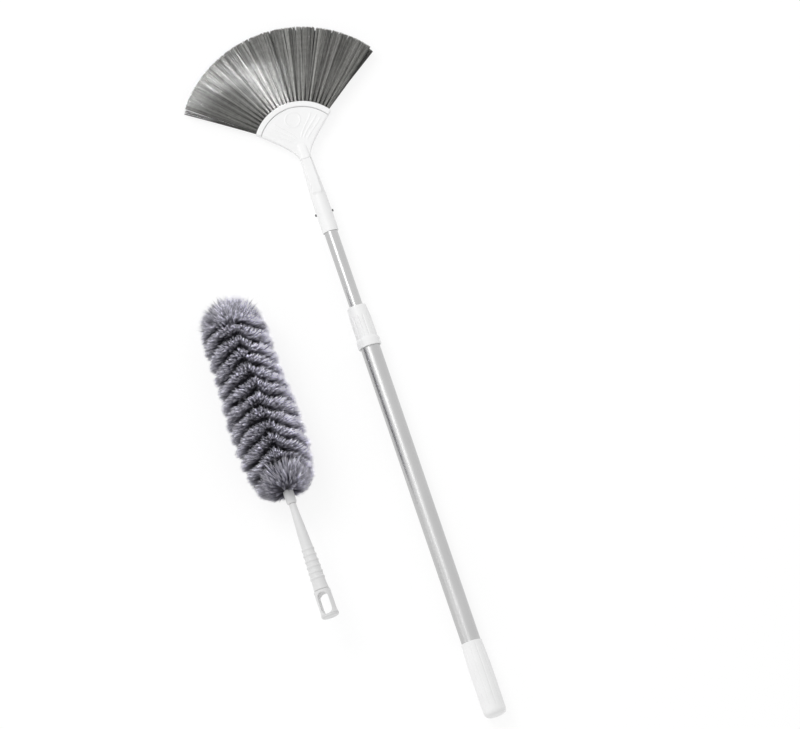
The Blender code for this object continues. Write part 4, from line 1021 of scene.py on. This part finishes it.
fluffSize = {
    "foot": handStation["headFoot"], "length": 0.300, "radius": 0.055, "ground": 0.0543,
    "domeShare": 0.86, "width": 0.00030, "strandTones": (0.8, 1.2), "mostInPiece": 19000,
}
clubShares = (  # share of the head's length, share of its radius
    (0.0, 0.54), (0.04, 0.76), (0.075, 0.86), (0.145, 0.94), (0.215, 1.0), (0.41, 1.0),
    (0.47, 0.97), (0.58, 0.92), (0.81, 0.92), (0.845, 0.88), (0.88, 0.82), (0.92, 0.71),
    (0.955, 0.53), (0.985, 0.24), (1.0, 0.0),
)
ridgeTurn = (  # angle from the front in degrees, height of the ridges there
    (-180, -0.0265), (-90, -0.0175), (0, 0.0), (5, -0.001), (15, -0.010), (90, -0.034),
    (180, -0.048),
)
# painted light and shade: the fibres are made paler towards the head's right side and darker at its
# left, as light falls on it
paintedSideLightTurn = (  # angle from the front in degrees, how pale the fibres are there
    (-180, 1.0), (-90, 0.80), (-40, 1.0), (0, 1.45), (40, 1.75), (90, 1.7), (180, 1.0),
)


# the head's radius at a height: its largest radius times the outline's share there
def clubRadius(height):
    share = (height - fluffSize["foot"]) / fluffSize["length"]
    return fluffSize["radius"] * readOff(clubShares, share)


# painted light and shade: a factor on the fibres' tone by their angle from the front
def paintedSideLight(phi):
    return readOff(paintedSideLightTurn, np.degrees(phi))


# how far up the plain fan of fibres at the foot reaches at each angle from the front
def coneReach(phi):
    return coneSize["low"] + coneSize["rise"] * smoothStep(np.cos(phi)) ** 1.2


# a point at angle phi from the front, radius r and height h; nothing sinks under the ground
def around(phi, radius, height):
    x, y = radius * np.sin(phi), -radius * np.cos(phi)
    return np.stack([x, np.minimum(y, fluffSize["ground"]), height + 0 * x], -1)


# one lot of strands: paths, widths from root to tip, and a shade for each strand
def strandLot(path, thickness, tone):
    count = len(path)
    widths = np.full((count, 3), fluffSize["width"]) * np.array(thickness)
    return path, widths, tone * dice.uniform(*fluffSize["strandTones"], count)


ridgeSize = {
    "pitch": 0.0215, "flare": 0.0084, "clump": 0.0031, "strands": 9, "jitter": 0.45,
    "waves": ((0.0020, 3, 55), (0.0014, 7, -91)), "topShare": 0.97,
    "round": 0.0120, "roundShare": 0.94, "uneven": 0.0011, "sunkShare": 0.08, "sunk": 0.003,
    "tone": 0.34, "paleMost": 1.3, "paleLeast": 0.3, "sunkPaintedShade": 170, "crestPaintedLight": 1.45,
    "sidePaintedShade": 1.15, "lean": 0.0011, "rootShare": 0.42, "middleShare": 0.76, "middleLean": 0.3,
    "rootAcross": 0.0026, "middleAcross": 0.0066, "rootStray": (0.0016, 0.0008),
    "middleStray": (0.0011, 0.0009), "tipStray": (0.0007, 0.0007, 0.0008),
    "thickness": (0.9, 1.0, 0.0),
}


# clumps stand on a jittered grid of angle and height. The height minus the ridges' own height
# at that angle, over the pitch, gives a clump's place q across its ridge, from -1 to 1; its
# strands fan out from the ridge's root by q, and the ridge is rounded towards q = -1 and 1
def makeRidges(s):
    foot, length = fluffSize["foot"], fluffSize["length"]
    rings = int(length * fluffSize["domeShare"] / s["clump"])
    turns = int(math.tau * fluffSize["radius"] / s["clump"])
    sector = math.tau / turns
    height = foot + (np.arange(rings)[:, None] + 0.5) * s["clump"] + np.zeros(turns)
    phi = -math.pi + (np.arange(turns) + 0.5) * sector + np.zeros((rings, 1))
    jitter = s["jitter"]
    height = (height + dice.uniform(-jitter, jitter, height.shape) * s["clump"]).ravel()
    phi = (phi + dice.uniform(-jitter, jitter, phi.shape) * sector).ravel()
    ridgeHeight = readOff(ridgeTurn, np.degrees(phi))
    for size, times, rise in s["waves"]:
        ridgeHeight = ridgeHeight + size * np.sin(times * phi + rise * height)
    step = (height - foot - ridgeHeight) / s["pitch"]
    q = 2 * (step % 1) - 1
    centre = height - q * s["pitch"] / 2
    tipHeight = centre + q * s["flare"]
    keep = tipHeight > foot + coneReach(phi)
    phi, q, centre, tipHeight = (values[keep] for values in (phi, q, centre, tipHeight))
    clumps = len(phi)
    club = clubRadius(np.minimum(tipHeight, foot + length * s["topShare"]))
    sunk = np.abs(dice.normal(0, s["uneven"], clumps))
    sunk = sunk + (dice.uniform(0, 1, clumps) < s["sunkShare"]) * s["sunk"]
    tip = club - s["round"] * (1 - np.sqrt(1 - s["roundShare"] * q**2)) - sunk
    lean = dice.normal(0, s["lean"], (clumps, 2))
    # painted shade and light: sunk clumps and those at a ridge's sides are darker, and the crests
    # paler
    tone = np.exp(dice.normal(0, s["tone"], clumps))
    tone = tone * np.maximum(s["paleMost"] - s["sunkPaintedShade"] * sunk, s["paleLeast"])
    tone = tone * (s["crestPaintedLight"] - s["sidePaintedShade"] * q**2) * paintedSideLight(phi)
    each = s["strands"]
    phi, q, centre, tipHeight, tip, tone = (
        np.repeat(values, each) for values in (phi, q, centre, tipHeight, tip, tone)
    )
    leanRound, leanUp = np.repeat(lean, each, axis=0).T
    fine = dice.normal(0, 1, (len(phi), 5)).T
    (rootRound, rootUp), (midRound, midUp) = s["rootStray"], s["middleStray"]
    tipRound, tipUp, tipOut = s["tipStray"]
    bend = s["middleLean"]
    path = np.stack([
        around(phi + fine[0] * rootRound / tip, s["rootShare"] * tip,
               centre + q * s["rootAcross"] + fine[1] * rootUp),
        around(phi + (fine[0] * midRound + leanRound * bend) / tip, s["middleShare"] * tip,
               centre + q * s["middleAcross"] + fine[1] * midUp + leanUp * bend),
        around(phi + (fine[2] * tipRound + leanRound) / tip, tip + fine[4] * tipOut,
               tipHeight + fine[3] * tipUp + leanUp),
    ], axis=1)
    return strandLot(path, s["thickness"], tone)


coneSize = {
    "low": 0.008, "rise": 0.040, "bunches": 650, "strands": 10, "fullness": 0.7, "spread": 0.10,
    "tipSpread": 0.022, "tipFoot": 0.0015, "uneven": 0.0015, "tipShares": (0.78, 0.99),
    "roots": (0.0045, 0.0066), "rootFoot": 0.0075, "rootRise": 0.006, "bow": 0.55, "tone": 0.38,
    "thickness": (0.8, 1.1, 0.0),
}


# the foot: strands straight from the ferrule's mouth to tips on the cone's face and rim
def makeConeFan(s):
    foot = fluffSize["foot"]
    bunches, each = s["bunches"], s["strands"]
    count = bunches * each
    bundle = np.repeat(dice.uniform(-math.pi, math.pi, bunches), each)
    share = np.repeat(dice.uniform(0, 1, bunches) ** s["fullness"], each)
    phi = bundle + dice.normal(0, s["spread"], count)
    tipPhi = bundle + dice.normal(0, s["tipSpread"], count)
    tipHeight = foot + s["tipFoot"] + share * coneReach(phi) + dice.normal(0, s["uneven"], count)
    tip = clubRadius(np.clip(tipHeight, foot, None))
    tip = tip * np.repeat(dice.uniform(*s["tipShares"], bunches), each)
    root = dice.uniform(*s["roots"], count)
    rootHeight = foot + s["rootFoot"] + share * s["rootRise"]
    path = np.stack([
        around(phi, root, rootHeight),
        around((phi + tipPhi) / 2, root + (tip - root) * s["bow"], (rootHeight + tipHeight) / 2),
        around(tipPhi, tip, tipHeight),
    ], axis=1)
    tone = np.repeat(np.exp(dice.normal(0, s["tone"], bunches)), each) * paintedSideLight(phi)
    return strandLot(path, s["thickness"], tone)


domeSize = {
    "clumps": 2100, "strands": 5, "lean": 0.0025, "rootDrop": 0.010, "uneven": 0.02, "sunk": 0.16,
    "stray": (0.0012, 0.0011, 0.0009), "shares": (0.35, 0.70), "proud": 0.002,
    "tone": (0.10, 0.55), "thickness": (0.9, 0.95, 0.0),
}


# the loose end: clumps on a dome, with tips at radius R sin(p) and height base + H cos(p), less
# what each is sunk; a strand runs straight to its tip from a point near the dome's middle
def makeDome(s):
    base = fluffSize["foot"] + fluffSize["length"] * fluffSize["domeShare"]
    top = fluffSize["foot"] + fluffSize["length"]
    clumps, each = s["clumps"], s["strands"]
    phi = dice.uniform(-math.pi, math.pi, clumps)
    polar = np.arccos(dice.uniform(0.0, 1.0, clumps))
    tip = clubRadius(base) * np.sin(polar)
    height = base + (top - base) * np.cos(polar)
    phi, tip, height = (np.repeat(values, each) for values in (phi, tip, height))
    count = len(phi)
    lean = np.repeat(dice.normal(0, s["lean"], (clumps, 2)), each, axis=0)
    fine = dice.normal(0, 1, (count, 4))
    sunk = np.abs(fine[:, 0]) * s["uneven"] + np.repeat(dice.uniform(0, s["sunk"], clumps), each)
    out = around(phi, tip, height) + np.stack([lean[:, 0], 0 * phi, lean[:, 1]], -1)
    root = np.array([0, 0, base - s["rootDrop"]])
    rootStray, middleStray, tipStray = s["stray"]
    rootShare, middleShare = s["shares"]
    out = root + (out - root) * (1 - sunk)[:, None] + fine[:, 1:] * tipStray
    out[:, 1] = np.minimum(out[:, 1], fluffSize["ground"])
    out[:, 2] = np.minimum(out[:, 2], top + s["proud"])
    path = np.stack([
        root + (out - root) * rootShare + fine[:, 1:] * rootStray,
        root + (out - root) * middleShare + fine[:, 1:] * middleStray,
        out,
    ], axis=1)
    tone = np.repeat(np.exp(dice.normal(*s["tone"], clumps)), each) * paintedSideLight(phi)
    return strandLot(path, s["thickness"], tone)


coreSize = {
    "foot": 0.006, "drop": 0.016, "rows": 120, "share": 0.47, "widen": 0.075, "neck": 0.0033,
    "closeFrom": 0.85, "closeRun": 0.16, "point": 0.0005,
}


# a closed near-black core under the strands, painted shade for the shadow deep in the fluff:
# a share of the club's radius, widening from the foot, with a round end
def makeFluffShadeCore(s):
    foot, top = fluffSize["foot"], fluffSize["foot"] + fluffSize["length"]
    height = np.linspace(foot + s["foot"], top - s["drop"], s["rows"])
    share = (height - height[0]) / (height[-1] - height[0])
    radius = s["share"] * clubRadius(height) * smoothStep((height - foot) / s["widen"])
    past = ((share - s["closeFrom"]) / s["closeRun"]).clip(0, 1)
    radius = radius * np.sqrt(np.clip(1 - past**2, 0.002, 1)) + s["neck"]
    profile = np.vstack([
        [(0, height[0] - s["point"])], np.column_stack([radius, height]),
        [(0, height[-1] + s["point"])],
    ])
    mesh = turnedMesh("fluff_core", profile, handSeat)
    addPiece("fluff_core", mesh, fluffShadeCore, "hand_duster", "fibre_head")


lots = [makeRidges(ridgeSize), makeConeFan(coneSize), makeDome(domeSize)]
path, widths, shade = (np.concatenate(values) for values in zip(*lots))
order = np.argsort(path[:, -1, 2], kind="stable")
pieces = math.ceil(len(order) / fluffSize["mostInPiece"])
for number, chosen in enumerate(np.array_split(order, pieces), 1):
    mesh = spikes(f"fluff_{number}", path[chosen], widths[chosen], shade[chosen], handSeat)
    addPiece(f"fluff_{number}", mesh, greyFibre, "hand_duster", "fibre_head")
makeFluffShadeCore(coreSize)
print("fluffy head made with", len(order), "strands in", pieces, "pieces")


# floor, light and camera

# 1 where a gloss or a glass looks, and the camera's share where the camera does
def seenStraight(tree, cameraShare):
    path = addNode(tree, "ShaderNodeLightPath")
    camera = addNode(tree, "ShaderNodeMath", operation="MULTIPLY")
    camera.inputs[1].default_value = cameraShare
    gloss = addNode(tree, "ShaderNodeMath", operation="MAXIMUM")
    glass = addNode(tree, "ShaderNodeMath", operation="MAXIMUM")
    connect(
        tree,
        (path, "Is Camera Ray", camera, 0),
        (camera, 0, gloss, 0),
        (path, "Is Glossy Ray", gloss, 1),
        (gloss, 0, glass, 0),
        (path, "Is Transmission Ray", glass, 1),
    )
    return glass


floorSize = {"radius": 6.0, "steps": 64, "drop": 0.0002, "pale": 0.95, "glow": 1.03, "seen": 0.8}


# nearly all plain white where the camera or a gloss sees it, with a share of diffuse white that
# keeps the shadow; all diffuse for the light that it throws back, and clear from below
def makeFloor(s):
    look, tree, shader = newMaterial("paleFloor")
    tree.nodes.remove(shader)
    seen = seenStraight(tree, s["seen"])
    side = addNode(tree, "ShaderNodeNewGeometry")
    plain = addNode(tree, "ShaderNodeBsdfDiffuse", Color=(s["pale"], s["pale"], s["pale"], 1))
    glow = addNode(tree, "ShaderNodeEmission", Color=(1, 1, 1, 1), Strength=s["glow"])
    clear = addNode(tree, "ShaderNodeBsdfTransparent")
    lit = addNode(tree, "ShaderNodeMixShader")
    sided = addNode(tree, "ShaderNodeMixShader")
    connect(
        tree,
        (seen, 0, lit, 0),
        (plain, 0, lit, 1),
        (glow, 0, lit, 2),
        (side, "Backfacing", sided, 0),
        (lit, 0, sided, 1),
        (clear, 0, sided, 2),
        (sided, 0, tree.nodes["Material Output"], "Surface"),
    )
    steps, radius = s["steps"], s["radius"]
    angle = np.arange(steps) * math.tau / steps
    points = np.stack([radius * np.cos(angle), radius * np.sin(angle), 0 * angle - s["drop"]], -1)
    mesh = meshFrom("floor", points, [np.arange(steps)[None, :]])
    mesh.materials.append(look)
    floor = bpy.data.objects.new("floor", mesh)
    bpy.context.collection.objects.link(floor)


# a plain white world: full white where it is seen, and a level for the light that it gives
def makeWorld(level):
    world = bpy.data.worlds.new("studio")
    bpy.context.scene.world = world
    world.use_nodes = True
    tree = world.node_tree
    back = tree.nodes["Background"]
    back.inputs["Color"].default_value = (1, 1, 1, 1)
    strength = addNode(tree, "ShaderNodeMapRange", To_Min=level, To_Max=1.0)
    seen = seenStraight(tree, 1.0)
    connect(tree, (seen, 0, strength, "Value"), (strength, "Result", back, "Strength"))


# a square lamp that looks at a point from a direction and a distance; where pieces are named,
# it lights them alone, and in their gloss only
def addLamp(name, toward, distance, size, power, only=(), target=(0.0, 0.05, 0.0)):
    lamp = bpy.data.lights.new(name, "AREA")
    lamp.size = size
    lamp.energy = power
    obj = bpy.data.objects.new(name, lamp)
    direction = Vector(toward).normalized()
    obj.location = Vector(target) + direction * distance
    obj.rotation_euler = direction.to_track_quat("Z", "Y").to_euler()
    bpy.context.collection.objects.link(obj)
    if only:
        lit = bpy.data.collections.new(name + "Lit")
        for pieceName in only:
            lit.objects.link(bpy.data.objects[pieceName])
        obj.light_linking.receiver_collection = lit
        obj.visible_diffuse = False


lampSet = [
    ("keyLamp", (-0.40, 0.60, 1.0), 3.0, 1.5, 29.0),
    ("lowLamp", (-0.89, -0.17, 0.42), 2.6, 0.9, 3.0),
    ("sheenLamp", (-0.49, 0.125, 0.87), 2.6, 0.6, 560.0, ("bristles_front", "bristles_back")),
]
for lampValues in lampSet:
    addLamp(*lampValues)
makeFloor(floorSize)
makeWorld(0.76)

viewSize = {
    "azimuth": -18.46, "elevation": 77.0, "lens": 1200.0, "sensor": 36.0, "distance": 37.32,
    "target": (0.0813, 0.0074, 0.0),
}


def addCamera(s):
    camera = bpy.data.cameras.new("camera")
    camera.lens = s["lens"]
    camera.sensor_width = s["sensor"]
    obj = bpy.data.objects.new("camera", camera)
    a, e = math.radians(s["azimuth"]), math.radians(s["elevation"])
    right = np.array([math.cos(a), math.sin(a), 0])
    back = np.array([math.sin(a) * math.cos(e), -math.cos(a) * math.cos(e), math.sin(e)])
    up = np.cross(back, right)
    place = np.eye(4)
    place[:3, 0], place[:3, 1], place[:3, 2] = right, up, back
    place[:3, 3] = np.array(s["target"]) + back * s["distance"]
    obj.matrix_world = Matrix(place.tolist())
    bpy.context.collection.objects.link(obj)
    bpy.context.scene.camera = obj


addCamera(viewSize)
bpy.context.scene.view_settings.view_transform = "Standard"
bpy.context.view_layer.update()
print("scene lit")
